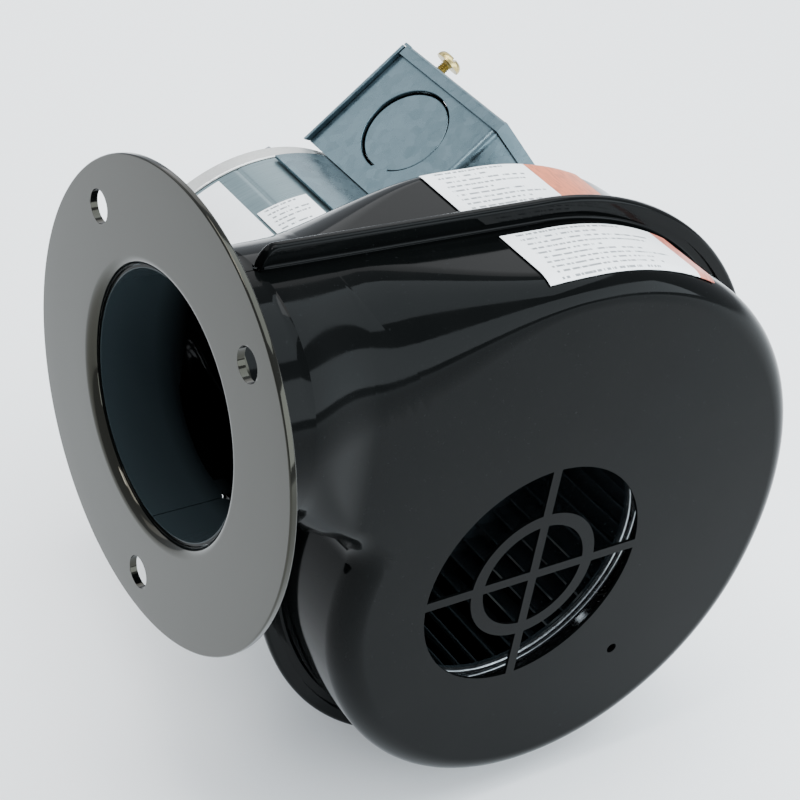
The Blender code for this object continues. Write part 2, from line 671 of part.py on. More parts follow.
def make_stator():
    """A slotted stack of laminations with a ring of winding at each end."""
    outer, inner = [], []
    tooth = ((0, STATOR_BORE_R), (0.30, STATOR_BORE_R), (0.35, SLOT_FLOOR_R), (0.95, SLOT_FLOOR_R))
    for slot in range(SLOTS):
        for offset, radius in tooth:
            angle = TAU * (slot + offset) / SLOTS
            inner.append(polar(radius, angle))
            outer.append(polar(STATOR_R, angle))
    bm = bmesh.new()
    rings = [[bm.verts.new((x, y, z)) for x, z in line] for line, y in (
        (inner, CORE[0]), (outer, CORE[0]), (outer, CORE[1]), (inner, CORE[1]))]
    for k, ring in enumerate(rings):
        for i in range(len(ring)):
            bm.faces.new((rings[k - 1][i - 1], rings[k - 1][i], ring[i], ring[i - 1]))
    boolean(add("stator_core", bm, "laminations", shaft_line), bolt_holes)
    for name, start, way in (("winding_front", CORE[0] - GAP, -1), ("winding_rear", CORE[1] + GAP, 1)):
        belly, end = start + way * 0.004, start + way * 0.0115
        turned(name, [
            (0.0290, start), (0.0415, start), (0.0425, belly), (0.0405, end), (0.0310, end), (0.0280, belly),
        ], "copper", shaft_line, 28)


def make_motor_case():
    """Shell, two end shields with bearing bosses, and the sleeve bearings in them."""
    face = REAR_DEPTH + GAP
    step = face + 0.0019
    spigot_r, spigot_sheet, boss_r = SHELL_BORE_R - GAP, 0.0015, BEARING_R + GAP
    front = turned("motor_front_shield", [
        (boss_r, face), (SHELL_BORE_R, face), (SHELL_R - 0.0006, face + 0.0006), (SHELL_R - 0.0006, step),
        (spigot_r, step), (spigot_r, step + 0.0048), (spigot_r - spigot_sheet, step + 0.0048),
        (spigot_r - spigot_sheet, step), (0.0130, step), (0.0115, step + 0.0138), (boss_r, step + 0.0138),
    ], "aluminium", shaft_line, 36)
    boolean(front, bolt_holes)
    shell = turned("motor_shell", [
        (SHELL_BORE_R, SHELL_FRONT), (SHELL_R, SHELL_FRONT), (SHELL_R, SHELL_BACK),
        (SHELL_BORE_R, SHELL_BACK),
    ], "motor_paint", shaft_line, 48)
    lead_hole = [((0.040, LEAD_HOLE_Y, 0), (0.060, LEAD_HOLE_Y, 0), LEAD_HOLE_R)]
    boolean(shell, rods("lead_hole", lead_hole, None, box_frame, 16))
    seat, inside = SHELL_BACK + GAP, MOTOR_END - 0.002
    rear = turned("motor_rear_shield", [
        (spigot_r, seat - 0.0056), (spigot_r, seat), (SHELL_R - 0.0001, seat),
        (SHELL_R + 0.0003, seat + 0.0006), (SHELL_R + 0.0003, MOTOR_END - 0.0013), (SHELL_R - 0.0010, MOTOR_END),
        (0.0200, MOTOR_END),
        (0.0170, MOTOR_END + 0.002), (0, MOTOR_END + 0.002), (0, MOTOR_END - 0.0008),
        (boss_r, MOTOR_END - 0.0008), (boss_r, 0.1120), (0.0115, 0.1120), (0.0130, inside), (0.0470, inside),
        (spigot_r - spigot_sheet, seat - 0.0056),
    ], "aluminium", shaft_line, 36)
    boolean(rear, bolt_holes)
    vents = bmesh.new()
    for i in range(VENTS):
        middle = math.radians(BOLT_ANGLES[0]) + TAU * (i + 0.5) / VENTS
        outline = []
        for radius, order in ((VENT_REACH[0], 1), (VENT_REACH[1], -1)):
            outline += [polar(radius, middle + step * 0.14 * order) for step in (-1, 0, 1)]
        prism(vents, outline, MOTOR_END - 0.006, MOTOR_END + 0.004)
    boolean(rear, add("rear_vents", vents, None, shaft_line))
    for name, start in (("bearing_front", SHELL_FRONT), ("bearing_rear", 0.1124)):
        end = start + BEARING_LENGTH
        bore = SHAFT_R + 0.00008
        profile = [(bore, start), (BEARING_R, start), (BEARING_R, end), (bore, end)]
        turned(name, profile, "bronze", shaft_line, 24)


def make_through_bolts():
    """Four bolts from the rear shield through the motor and the rear half's wall, with a nut on each."""
    nut = REAR_DEPTH - SHEET - GAP
    head = MOTOR_END + GAP
    for number, degrees in enumerate(BOLT_ANGLES, 1):
        x, z = polar(BOLTS_AT, math.radians(degrees))
        place = empty("bolt_line_%d" % number, (AXIS_X + x, 0, AXIS_Z + z))
        turned("through_bolt_%d" % number, [
            (0, nut - 0.004), (BOLT_R, nut - 0.004), (BOLT_R, head), (2 * BOLT_R, head),
            (1.9 * BOLT_R, head + 0.0025), (0, head + 0.0025),
        ], "steel", place, 12)
        turned("through_bolt_nut_%d" % number, [
            (0.0028, nut - 0.003), (0.0044, nut - 0.003), (0.0044, nut), (0.0028, nut),
        ], "steel", place, 6)


def make_thermal_protector():
    """The overload switch lies against the rear winding."""
    block("thermal_protector", (0.0310, 0.1120, -0.005), (0.0405, 0.1165, 0.005), "rubber", protector_frame)


def shell_label(name, degrees, ys):
    """A printed label lying on the motor's shell."""
    steps = 6
    outline = []
    for radius, order in ((SHELL_R + GAP, 1), (SHELL_R + GAP + LABEL_SHEET, -1)):
        for i in range(steps + 1)[::order]:
            outline.append(polar(radius, math.radians(degrees[0] + (degrees[1] - degrees[0]) * i / steps)))
    extruded(name, outline, ys[0], ys[1], "label", shaft_line)


# ---------------------------------------------------------------- the pieces: wiring box
def make_saddle():
    """The curved strap that the wiring box is welded to, on the motor's shell."""
    steps = 12
    outline = []
    for radius, order in ((SADDLE[0], 1), (SADDLE[1], -1)):
        for i in range(steps + 1)[::order]:
            outline.append(polar(radius, SADDLE_HALF_ANGLE * (2 * i / steps - 1)))
    saddle = extruded("box_saddle", outline, *SADDLE_ENDS, "zinc", box_frame)
    hole = [((0.045, LEAD_HOLE_Y, 0), (0.060, LEAD_HOLE_Y, 0), LEAD_HOLE_R)]
    boolean(saddle, rods("saddle_lead_hole", hole, None, box_frame, 16))


def make_wiring_box():
    """Three walls bent from one sheet, cut to the motor's round, with a separate end plate at the back."""
    foot = SADDLE[1] + GAP
    wall_end = BOX_BACK - BOX_SHEET - GAP
    outer, inner = [(wall_end, -BOX_HALF)], [(wall_end, -BOX_HALF + BOX_SHEET)]
    for side, start in ((-1, math.pi * 1.5), (1, math.pi)):
        y, z = BOX_FRONT + BOX_BEND, side * (BOX_HALF - BOX_BEND)
        for i in range(4):
            way = polar(1, start - math.pi / 6 * i)
            outer.append((y + BOX_BEND * way[0], z + BOX_BEND * way[1]))
            inner.append((y + (BOX_BEND - BOX_SHEET) * way[0], z + (BOX_BEND - BOX_SHEET) * way[1]))
    outer.append((wall_end, BOX_HALF))
    inner.append((wall_end, BOX_HALF - BOX_SHEET))
    box = extruded("wiring_box", outer + inner[::-1], BOX_BOTTOM, BOX_TOP - GAP, "zinc", box_frame, "X")
    clearance = rods("shell_clearance", [((0, 0.05, 0), (0, 0.15, 0), foot)], None, box_frame, 72)
    boolean(box, clearance)
    boolean(box, knockout_groove())
    out, y = GROUND_SCREW_AT
    hole = [((out, y, -BOX_HALF - 0.005), (out, y, -BOX_HALF + 0.005), 0.0021)]
    boolean(box, rods("ground_screw_hole", hole, None, box_frame))
    turned_screw("ground_screw", (out, y, -BOX_HALF + BOX_SHEET + GAP), (0, 0, -1), 0.0045, 0.0036, 0.0018,
                 "green_screw")
    side = BOX_HALF + 0.0018
    outline = [(BOX_BOTTOM, -side), (BOX_TOP - GAP, -side), (BOX_TOP - GAP, side), (BOX_BOTTOM, side)]
    end = extruded("box_end_plate", outline, BOX_BACK - BOX_SHEET, BOX_BACK, "zinc", box_frame)
    boolean(end, clearance)
    low = (BOX_TOP - GAP - BOX_SHEET, COVER_SCREW_AT[0] - 0.005, COVER_SCREW_AT[1] - 0.006)
    high = (BOX_TOP - GAP, BOX_BACK - BOX_SHEET / 2, COVER_SCREW_AT[1] + 0.006)
    boolean(end, block("cover_tab", low, high, None, box_frame), "UNION")


def knockout_groove():
    """The cut round the knock-out disc; the missing part of the turn is the tie that holds it."""
    steps = 28
    tie_at, tie = (math.radians(degrees) for degrees in KNOCKOUT_TIE)
    outline = []
    for reach, order in ((KNOCKOUT_R + KNOCKOUT_GAP / 2, 1), (KNOCKOUT_R - KNOCKOUT_GAP / 2, -1)):
        for i in range(steps + 1)[::order]:
            across, along = polar(reach, tie_at + tie / 2 + (TAU - tie) * i / steps)
            outline.append((KNOCKOUT_AT[0] + across, KNOCKOUT_AT[1] + along))
    return extruded("knockout_groove", outline, BOX_HALF - 0.003, BOX_HALF + 0.002, None, box_frame, "Z")


def turned_screw(name, place, way, length, head_r, head, finish):
    """A screw whose head's underside is at place, with its shank along way."""
    frame = empty(name + "_line", place, Vector((0, 1, 0)).rotation_difference(Vector(way)).to_euler())
    frame.parent = box_frame
    return turned(name, [(0, -head), (head_r * 0.8, -head), (head_r, -head * 0.55), (head_r, 0), (SCREW_R, 0),
                         (SCREW_R, length), (0, length)], finish, frame, 12)


def make_cover():
    """A lid with turned-down lips on three sides; its back edge lies on the end plate."""
    top, rim = BOX_TOP + COVER_SHEET, BOX_TOP - COVER_LIP
    near, half = BOX_FRONT - 0.0013, BOX_HALF + 0.0013
    inside = half - COVER_SHEET
    profile = [(top, -half), (top, half), (rim, half), (rim, inside), (BOX_TOP, inside), (BOX_TOP, -inside),
               (rim, -inside), (rim, -half)]
    cover = extruded("box_cover", profile, near, BOX_BACK - BOX_SHEET - GAP, "zinc", box_frame)
    front_lip = block("cover_front_lip", (rim, near, -half), (top, near + COVER_SHEET, half), None, box_frame)
    boolean(cover, front_lip, "UNION")
    back = block("cover_back", (BOX_TOP, BOX_BACK - 0.003, -half), (top, BOX_BACK, half), None, box_frame)
    boolean(cover, back, "UNION")
    y, z = COVER_SCREW_AT
    hole = [((BOX_TOP - 0.01, y, z), (BOX_TOP + 0.01, y, z), 0.0022)]
    hole = rods("cover_screw_hole", hole, None, box_frame)
    boolean(cover, hole)
    boolean(bpy.data.objects["box_end_plate"], hole)
    place = (BOX_TOP + COVER_SCREW_OUT, y, z)
    turned_screw("cover_screw", place, (-1, 0, 0), 0.0105, 0.0046, 0.0026, "brass")


def make_grommet():
    frame = empty("grommet_line", (0, LEAD_HOLE_Y, 0), (0, 0, -math.pi / 2))
    frame.parent = box_frame
    turned("lead_grommet", [
        (0.0032, 0.0475), (0.0046, 0.0475), (0.0046, 0.0526), (0.0066, 0.0526), (0.0062, 0.0542),
        (0.0032, 0.0542),
    ], "rubber", frame, 16)


def make_lead(name, side, finish):
    """An insulated lead from the winding, up through the grommet and folded once inside the box."""
    curve = bpy.data.curves.new(name, "CURVE")
    curve.dimensions = "3D"
    curve.bevel_depth = LEAD_R
    curve.bevel_resolution = 1
    curve.use_fill_caps = True
    spline = curve.splines.new("POLY")
    spline.points.add(len(LEAD_PATH) - 1)
    for target, (out, along, aside) in zip(spline.points, LEAD_PATH):
        target.co = (out, along, side * aside, 1)
    curve.materials.append(finishes[finish])
    thing = bpy.data.objects.new(name, curve)
    thing.parent = box_frame
    bpy.context.scene.collection.objects.link(thing)


# ---------------------------------------------------------------- assembly
clear_scene()
finishes = make_finishes()
shaft_line = empty("shaft_line", (AXIS_X, 0, AXIS_Z))
wheel_line = empty("wheel_line", (AXIS_X, 0, AXIS_Z))
box_frame = empty("box_frame", (AXIS_X, 0, AXIS_Z), (0, -BOX_ANGLE, 0))
protector_frame = empty("protector_frame", (AXIS_X, 0, AXIS_Z), (0, math.radians(80), 0))
bolt_places = [polar(BOLTS_AT, math.radians(degrees)) for degrees in BOLT_ANGLES]
bolt_runs = [((x, 0.028, z), (x, 0.140, z), BOLT_R + 0.0005) for x, z in bolt_places]
bolt_holes = rods("bolt_holes", bolt_runs, None, shaft_line)

make_flange()
make_front_half()
make_rear_half()
wall_label("front_half_label", FRONT, FRONT_LABEL)
wall_label("rear_half_label", REAR, REAR_LABEL)
make_wheel()
make_hub()
make_rotor()
make_stator()
make_motor_case()
make_through_bolts()
make_thermal_protector()
shell_label("motor_rating_label", (93.2, 112.8), (0.0600, 0.1005))
shell_label("motor_wiring_label", (114, 160), (0.0600, 0.1225))
make_saddle()
make_wiring_box()
make_cover()
make_grommet()
make_lead("lead_black", 1, "black_lead")
make_lead("lead_white", -1, "white_lead")
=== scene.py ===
# %% [markdown]
# # A combustion fan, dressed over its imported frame
#
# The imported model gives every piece's place and every joint. This script loads it, measures it, and builds
# the finished look of each piece in the same place: pressed and crimped housing, wheel, motor and wiring
# box. Everything is in metres. The outlet flange's face is at the origin, the shaft lies along Y and Z is
# up.

import math
from collections import namedtuple

import bmesh
import bpy
from mathutils import Matrix, Vector


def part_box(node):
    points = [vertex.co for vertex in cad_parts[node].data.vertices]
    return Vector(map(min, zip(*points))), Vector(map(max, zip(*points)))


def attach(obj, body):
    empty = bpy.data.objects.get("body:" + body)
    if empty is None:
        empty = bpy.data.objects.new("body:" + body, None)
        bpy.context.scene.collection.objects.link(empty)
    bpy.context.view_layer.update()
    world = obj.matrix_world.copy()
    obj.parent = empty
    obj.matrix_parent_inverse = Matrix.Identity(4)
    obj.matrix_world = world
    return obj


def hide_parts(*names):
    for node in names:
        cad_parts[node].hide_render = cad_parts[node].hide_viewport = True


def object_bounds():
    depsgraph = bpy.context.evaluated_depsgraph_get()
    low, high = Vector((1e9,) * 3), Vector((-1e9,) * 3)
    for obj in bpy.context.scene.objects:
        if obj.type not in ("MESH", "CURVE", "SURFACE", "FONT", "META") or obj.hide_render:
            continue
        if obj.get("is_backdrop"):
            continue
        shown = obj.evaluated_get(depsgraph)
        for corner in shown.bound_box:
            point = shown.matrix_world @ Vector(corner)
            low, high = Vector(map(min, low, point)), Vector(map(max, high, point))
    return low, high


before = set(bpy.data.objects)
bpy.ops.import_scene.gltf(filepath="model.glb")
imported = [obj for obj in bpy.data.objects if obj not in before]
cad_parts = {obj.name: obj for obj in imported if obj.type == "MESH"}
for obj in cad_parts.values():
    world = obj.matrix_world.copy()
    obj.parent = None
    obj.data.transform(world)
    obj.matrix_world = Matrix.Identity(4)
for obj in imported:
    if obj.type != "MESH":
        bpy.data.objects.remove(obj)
cad_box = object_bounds()
TAU = 2 * math.pi
print("nodes:", len(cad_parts), "box:", [[round(v, 4) for v in corner] for corner in cad_box])

# %% [markdown]
# ## The camera
#
# A blower like this is shown from the inlet side and above, so that the outlet, the inlet guard and the
# motor are all in view. A camera has a place, a direction and a roll. Writing its three axes down is the
# plainest way to set all of them at once: they are the columns of its matrix.

# %% Camera
CAMERA_PLACE = (-0.2257, -0.3679, 0.3050)
CAMERA_RIGHT = Vector((0.8252, -0.5438, 0.1527)).normalized()
CAMERA_FORWARD = Vector((0.5256, 0.6404, -0.5600)).normalized()
CAMERA_UP = CAMERA_RIGHT.cross(CAMERA_FORWARD).normalized()
lens = bpy.data.cameras.new("camera")
lens.sensor_width = 36
lens.lens = 95.6
lens.clip_start = 0.01
camera = bpy.data.objects.new("camera", lens)
turn = Matrix((CAMERA_RIGHT, CAMERA_UP, -CAMERA_FORWARD)).transposed()
camera.matrix_world = Matrix.Translation(CAMERA_PLACE) @ turn.to_4x4()
bpy.context.scene.collection.objects.link(camera)
bpy.context.scene.camera = camera
print("camera", [round(v, 3) for v in camera.location])

# %% [markdown]
# ## Sizes
#
# The frame's boxes give the places. The sheet-metal sizes that a box can't give are the designer's own
# numbers, listed once here.

# %% Sizes from the frame, and the rest
shell_low, shell_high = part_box("motor_shell")
AXIS_X = (shell_low.x + shell_high.x) / 2
AXIS_Z = (shell_low.z + shell_high.z) / 2
SHELL_R = (shell_high.x - shell_low.x) / 2
SHELL_FRONT, SHELL_BACK = shell_low.y, shell_high.y
FLANGE_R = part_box("outlet_flange")[1].z
BOSS_RISE = 0.002                   # the bearing boss stands out this far from the rear shield
MOTOR_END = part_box("motor_rear_shield")[1].y - BOSS_RISE
GAP = 0.0003                        # between pieces that touch
FRONT_DEPTH = 0.03175               # seam plane to inlet face
REAR_DEPTH = 0.035                  # seam plane to the wall that the motor bolts to
SHEET = 0.0009                      # housing steel
FLANGE_SHEET = 0.002
FLANGE_COLLAR_END = 0.008           # how far the drawn collar reaches behind the face
FLANGE_HOLE_R = 0.0045
FLANGE_HOLES_AT = 0.0524            # bolt circle radius
FLANGE_HOLE_ANGLES = (45, 135, 270)  # degrees, from +Y towards +Z
NECK_R = 0.0355                     # outside of the outlet neck
FRONT_CORNER, REAR_CORNER = 0.008, 0.006    # radius between face and scroll wall
CUTOFF_R = 0.0641                   # scroll radius at the tongue
SCROLL_GROWTH = 0.0308              # how far the scroll opens out from there
CROWN_R = 0.0972                    # scroll radius straight above the shaft
TONGUE_R = 0.0085                   # rounding of the tongue between neck and scroll
TONGUE_ANGLE = math.radians(157)
GROWTH_START, GROWTH_SPAN = math.radians(42), math.radians(143)
CROWN_START, CROWN_SPAN = math.radians(185), math.radians(108)
NECK_ROUND_TO = 0.024               # the neck is a plain tube up to here
BLEND_TO = 0.046                    # and has become flat-sided here
FRONT_SQUARE_TO, REAR_SQUARE_TO = AXIS_X, 0.103     # where the top corner has tightened to its scroll radius
REAR_OPENING_R = 0.017              # for the motor's bearing boss
NECK_END_X = 0.0027                 # the neck stops just behind the flange's face
HEM_START = 0.0245                  # the crimped seam begins here, behind the flange
HEM_NOSE = 0.0045                   # the length over which its front end is rounded
HEM_HEIGHT = 0.0068
HEM_OVERLAP = 0.0038                # how far the rear half's rim folds back over the front one
HEM_HALF = 0.00165                  # half the seam's thickness
INLET_R = 0.0369
GUARD_BAR = 0.003
GUARD_RING = (0.0173, 0.0214)
DRAIN_HOLE_AT = (0.0397, -0.0417)   # X and Z from the shaft's line
DRAIN_HOLE_R = 0.0017
LABEL_SHEET = 0.0002
FRONT_LABEL = ((62, 98.2), (0.0042, 0.0272))    # degrees round the shaft; arc length from the seam
REAR_LABEL = ((66, 99.7), (0.0080, 0.0300))
WHEEL_R, WHEEL_BORE_R = 0.0484, 0.0404
WHEEL_FRONT, WHEEL_BACK = -0.022, 0.0256
BLADES = 40
BLADE_SHEET = 0.0006
BLADE_LEAN = 0.13                   # radians, bore to rim
WHEEL_SHEET = 0.0008
HUB_R = 0.009
CORE = (0.056, 0.092)               # lamination stack, along Y
BEARING_R = 0.0076
VENTS, VENT_REACH = 8, (0.0250, 0.0400)
LEAD_HOLE_Y, LEAD_HOLE_R = 0.103, 0.0050
BOLTS_AT, BOLT_R = 0.0452, 0.0021
BOLT_ANGLES = (86, 176, 266, 356)   # degrees, from +X towards +Z
BOX_ANGLE = math.radians(40.9)      # the way the wiring box points, from +X towards +Z
BOX_FRONT, BOX_BACK = 0.0784, 0.1335
BOX_HALF = 0.0254                   # half its width
BOX_TOP = 0.0897                    # rim of the box, from the shaft's line
BOX_SHEET = 0.0012
BOX_BEND = 0.0025
BOX_BOTTOM = 0.036                  # the walls start here, before the motor's round is cut away
SADDLE = (0.0513, 0.0523)           # inner and outer radius of the saddle under the box
SADDLE_HALF_ANGLE = math.radians(50)
SADDLE_ENDS = (0.0735, 0.1230)
KNOCKOUT_AT = (0.0686, 0.1061)      # out from the shaft's line, and along Y
KNOCKOUT_R, KNOCKOUT_GAP = 0.0149, 0.0008
KNOCKOUT_TIE = (195, 24)            # degrees: where the tie is, and how wide
COVER_LIP = 0.0032
COVER_SHEET = 0.001
COVER_SCREW_AT = (0.1240, 0.0160)   # along Y, and sideways
COVER_SCREW_OUT = 0.0060            # the screw isn't driven home
GROUND_SCREW_AT = (0.0700, 0.1060)
SCREW_R = 0.0018
SHELL_BORE_R = 0.0494               # inside of the motor's shell
CLEARANCE = 0.0005                  # a clearance hole is this much wider in radius than its bolt
THREAD_PITCH = 0.0007
COVER_HOLE_R, GROUND_HOLE_R = 0.0022, 0.0021
SEAM_DEGREES = 105.5                # where the shell's rolled seam lies
BOX_PLACE = Matrix.Translation((AXIS_X, 0, AXIS_Z)) @ Matrix.Rotation(-BOX_ANGLE, 4, "Y")
SHAFT_PLACE = Matrix.Translation((AXIS_X, 0, AXIS_Z))
print("shaft line at", round(AXIS_X, 4), round(AXIS_Z, 4), "depths", FRONT_DEPTH, REAR_DEPTH)

# %% [markdown]
# ## Finishes
#
# Each finish is named for the real one and is made of nodes. A colour is written as the hex value that a
# paint chart would give, and one function turns it into the linear numbers that light is reckoned in. One
# more function adds a node with its settings and links, and everything else is built with it.

# %% Colour and node helpers
def linear(code):
    """The linear colour of an sRGB hex value."""
    parts = [int(code[i:i + 2], 16) / 255 for i in (1, 3, 5)]
    return (*[c / 12.92 if c <= 0.04045 else ((c + 0.055) / 1.055) ** 2.4 for c in parts], 1)


def node(tree, kind, inputs=None, **settings):
    """Adds a node. inputs maps an input's name or number to a value or to another node's output."""
    made = tree.nodes.new(kind)
    for key, value in settings.items():
        setattr(made, key, value)
    for key, value in (inputs or {}).items():
        if isinstance(value, bpy.types.NodeSocket):
            tree.links.new(value, made.inputs[key])
        else:
            made.inputs[key].default_value = value
    return made


def finish(name, **shader_values):
    """A material with only its shader, whose constant values are set on the shader's own sockets."""
    made = bpy.data.materials.new(name)
    made.use_nodes = True
    shader = made.node_tree.nodes["Principled BSDF"]
    for key, value in shader_values.items():
        shader.inputs[key.replace("_", " ").title().replace("Ior", "IOR")].default_value = value
    return made, made.node_tree, shader


def place_mm(tree):
    """Object coordinates in millimetres."""
    where = node(tree, "ShaderNodeTexCoord")
    return node(tree, "ShaderNodeVectorMath", {0: where.outputs["Object"], 1: (1000, 1000, 1000)},
                operation="MULTIPLY").outputs[0]


def mixed(tree, factor, first, second):
    """A colour between two hex values or colour sockets."""
    chosen = [end if isinstance(end, bpy.types.NodeSocket) else linear(end) for end in (first, second)]
    made = node(tree, "ShaderNodeMix", {0: factor, 6: chosen[0], 7: chosen[1]}, data_type="RGBA")
    return made.outputs[2]


def ranged(tree, value, low, high, to_low, to_high):
    return node(tree, "ShaderNodeMapRange", {0: value, 1: low, 2: high, 3: to_low, 4: to_high}).outputs[0]


def arithmetic(tree, operation, first, second=0.0):
    return node(tree, "ShaderNodeMath", {0: first, 1: second}, operation=operation).outputs[0]


def length(tree, vector):
    return node(tree, "ShaderNodeVectorMath", {0: vector}, operation="LENGTH").outputs["Value"]


def noise(tree, place, scale_per_mm, detail=3.0):
    values = {"Vector": place, "Scale": scale_per_mm, "Detail": detail}
    return node(tree, "ShaderNodeTexNoise", values).outputs[0]


def bump(tree, shader, height, distance_mm, strength=1.0):
    """Raises the surface by a height socket; distance_mm is the real depth of the texture."""
    values = {"Height": height, "Distance": distance_mm / 1000, "Strength": strength}
    made = node(tree, "ShaderNodeBump", values)
    tree.links.new(made.outputs[0], shader.inputs["Normal"])


def link(tree, output, shader, name):
    tree.links.new(output, shader.inputs[name])

# %% [markdown]
# Gloss black stoving enamel covers the pressed steel. It is nearly a black mirror: the eye reads it from
# what it reflects. It has a slight orange peel about 2 mm across, thin dust, and rubbed patches that are a
# little duller. Its mirror strength seen straight on is kept low on the housing, or the flat inlet face
# would look grey, and higher on the flange and the wheel. Inside the outlet a paler colour is painted on,
# painted light standing in for the light that reaches the bore, so that the bore doesn't look quite black.

# %% Black enamel
def black_enamel(name, peel_mm, dust, mirror, dark="#040505", pale="#080909", tint="#ffffff",
                 outlet_painted_light=None):
    """Gloss enamel. The last argument is painted light: a paler colour inside the outlet, by its place in the
    frame.
    """
    made, tree, shader = finish(name, metallic=0.0, specular_ior_level=mirror, specular_tint=linear(tint))
    place = place_mm(tree)
    rubbed = noise(tree, place, 1 / 18, 4)
    speck = ranged(tree, noise(tree, place, 1 / 0.9, 2), 0.68, 0.78, 0.0, dust)
    tone = mixed(tree, rubbed, dark, pale)
    # Painted light: the bore of the outlet is painted paler, fully up to 18 mm in from the face and fading
    # out by 28 mm.
    if outlet_painted_light:
        split = node(tree, "ShaderNodeSeparateXYZ", {0: place})
        flat = node(tree, "ShaderNodeCombineXYZ", {1: split.outputs[1], 2: split.outputs[2]})
        within = arithmetic(tree, "LESS_THAN", length(tree, flat.outputs[0]), 1000 * (NECK_R - SHEET / 2))
        painted_light_fade = ranged(tree, split.outputs[0], 18, 28, 1.0, 0.0)
        tone = mixed(tree, arithmetic(tree, "MULTIPLY", within, painted_light_fade), tone, outlet_painted_light)
    link(tree, mixed(tree, speck, tone, "#6f7577"), shader, "Base Color")
    link(tree, ranged(tree, rubbed, 0.35, 0.75, 0.05, 0.13), shader, "Roughness")
    bump(tree, shader, noise(tree, place, 1 / 2.2, 1), peel_mm, 0.6)
    return made


# The housing's enamel has painted light inside the outlet: a paler colour in the bore.
ENAMEL = black_enamel("black_stoving_enamel", 0.006, 0.03, 0.05, outlet_painted_light="#272f32")
FLANGE_ENAMEL = black_enamel("black_flange_enamel", 0.004, 0.04, 0.29, tint="#fdf8e2")
WHEEL_ENAMEL = black_enamel("black_dipped_wheel", 0.010, 0.12, 0.9, "#1b2022", "#2c3336")
print("enamels:", ENAMEL.name, FLANGE_ENAMEL.name, WHEEL_ENAMEL.name)

# %% [markdown]
# Hot-dip galvanised steel sets in flat crystals, its spangle, each a few millimetres across and each facing
# its own way. A Voronoi texture gives every crystal one value, which shifts both its tone and its gloss,
# and a cloudy noise over it gives the dull bloom that zinc gets in a store.

# %% Galvanised sheet
def galvanised(name, spangle_mm, dark, pale):
    made, tree, shader = finish(name, metallic=0.92)
    place = place_mm(tree)
    bent = node(tree, "ShaderNodeTexNoise", {"Vector": place, "Scale": 0.4, "Detail": 2.0})
    shifted = node(tree, "ShaderNodeVectorMath", {0: bent.outputs["Color"], 1: (2.2, 2.2, 2.2), 2: place},
                   operation="MULTIPLY_ADD")
    crystal = node(tree, "ShaderNodeTexVoronoi", {"Vector": shifted.outputs[0], "Scale": 1 / spangle_mm})
    shade = node(tree, "ShaderNodeSeparateColor", {0: crystal.outputs["Color"]}).outputs[0]
    bloom = ranged(tree, noise(tree, place, 1 / 4, 5), 0.35, 0.72, 0.0, 1.0)
    tone = mixed(tree, ranged(tree, shade, 0, 1, 0.36, 0.64), dark, pale)
    link(tree, mixed(tree, ranged(tree, bloom, 0, 1, 0.0, 0.18), tone, "#84989f"), shader, "Base Color")
    dull = arithmetic(tree, "ADD", ranged(tree, shade, 0, 1, 0.0, 0.10), bloom)
    link(tree, ranged(tree, dull, 0, 1.1, 0.22, 0.36), shader, "Roughness")
    bump(tree, shader, noise(tree, place, 1 / 3.0, 3), 0.02, 0.5)
    return made


GALVANISED = galvanised("galvanised_sheet", 3.2, "#42535a", "#697c84")
print("galvanised:", GALVANISED.name)

# %% [markdown]
# The motor's shell is rolled steel with a satin grey paint, its end shields are die-cast aluminium, and the
# fasteners are zinc-plated. Rolled and turned metal shows fine lines round the shaft, so their noise is
# stretched hard along one way. The lines are drawn about 0.5 mm apart, coarser than real ones, or they
# would not show.

# %% Motor metals
def metal(name, dark, pale, grain_mm, roughness, metallic=1.0, bump_mm=0.004, specks=0.0):
    """A metal or metallic paint. grain_mm is the grain's size along X, Y and Z."""
    made, tree, shader = finish(name, metallic=metallic)
    place = place_mm(tree)
    stretched = node(tree, "ShaderNodeMapping", {"Vector": place, "Scale": [1 / size for size in grain_mm]})
    grain = noise(tree, stretched.outputs[0], 1.0, 4)
    cloud = noise(tree, place, 1 / 12, 3)
    tone = mixed(tree, grain, dark, pale)
    spotted = ranged(tree, noise(tree, place, 1 / 0.7, 1), 0.66, 0.74, 0.0, specks)
    link(tree, mixed(tree, spotted, tone, "#2c2d2e"), shader, "Base Color")
    spread = arithmetic(tree, "ADD", grain, cloud)
    link(tree, ranged(tree, spread, 0.6, 1.4, roughness[0], roughness[1]), shader, "Roughness")
    bump(tree, shader, grain, bump_mm, 0.6)
    return made


SHELL_PAINT = metal("satin_grey_paint", "#5c6b70", "#788a8e", (14, 0.5, 14), (0.26, 0.36), 0.75, 0.003)
CAST_ALUMINIUM = metal("die_cast_aluminium", "#b4b5b3", "#d2d2cf", (0.8, 0.8, 0.8), (0.38, 0.55), 1.0, 0.02,
                       0.1)
ZINC_PLATE = metal("zinc_plated_steel", "#8f9496", "#b8bdc0", (1.5, 1.5, 1.5), (0.22, 0.36), 1.0, 0.003)
YELLOW_ZINC = metal("yellow_zinc_plate", "#8d7a42", "#c2b27c", (1.0, 1.0, 1.0), (0.24, 0.38), 1.0, 0.004)
GROUND_STEEL = metal("ground_shaft_steel", "#9a9c9e", "#c6c8ca", (6, 0.15, 6), (0.16, 0.28), 1.0, 0.001)
BRONZE = metal("sintered_bronze", "#7d5a2c", "#b08a50", (0.3, 0.3, 0.3), (0.40, 0.58), 1.0, 0.02, 0.35)
GREEN_SCREW = metal("green_dyed_zinc", "#0d4a22", "#1f7a3c", (1.0, 1.0, 1.0), (0.28, 0.4), 0.6, 0.004)
WHEEL_EDGE = metal("rolled_wheel_edge", "#5d6063", "#b4b9bc", (3, 3, 0.6), (0.16, 0.3), 0.9, 0.003, 0.3)
print("metals:", len(bpy.data.materials))

# %% [markdown]
# A lamination stack is some seventy steel sheets, each 0.5 mm thick. A band pattern along the shaft gives
# each sheet its own tone and a fine groove between them. Varnished copper wire is 0.6 mm thick and runs
# round the stack's end, so its bands run across the radius instead.

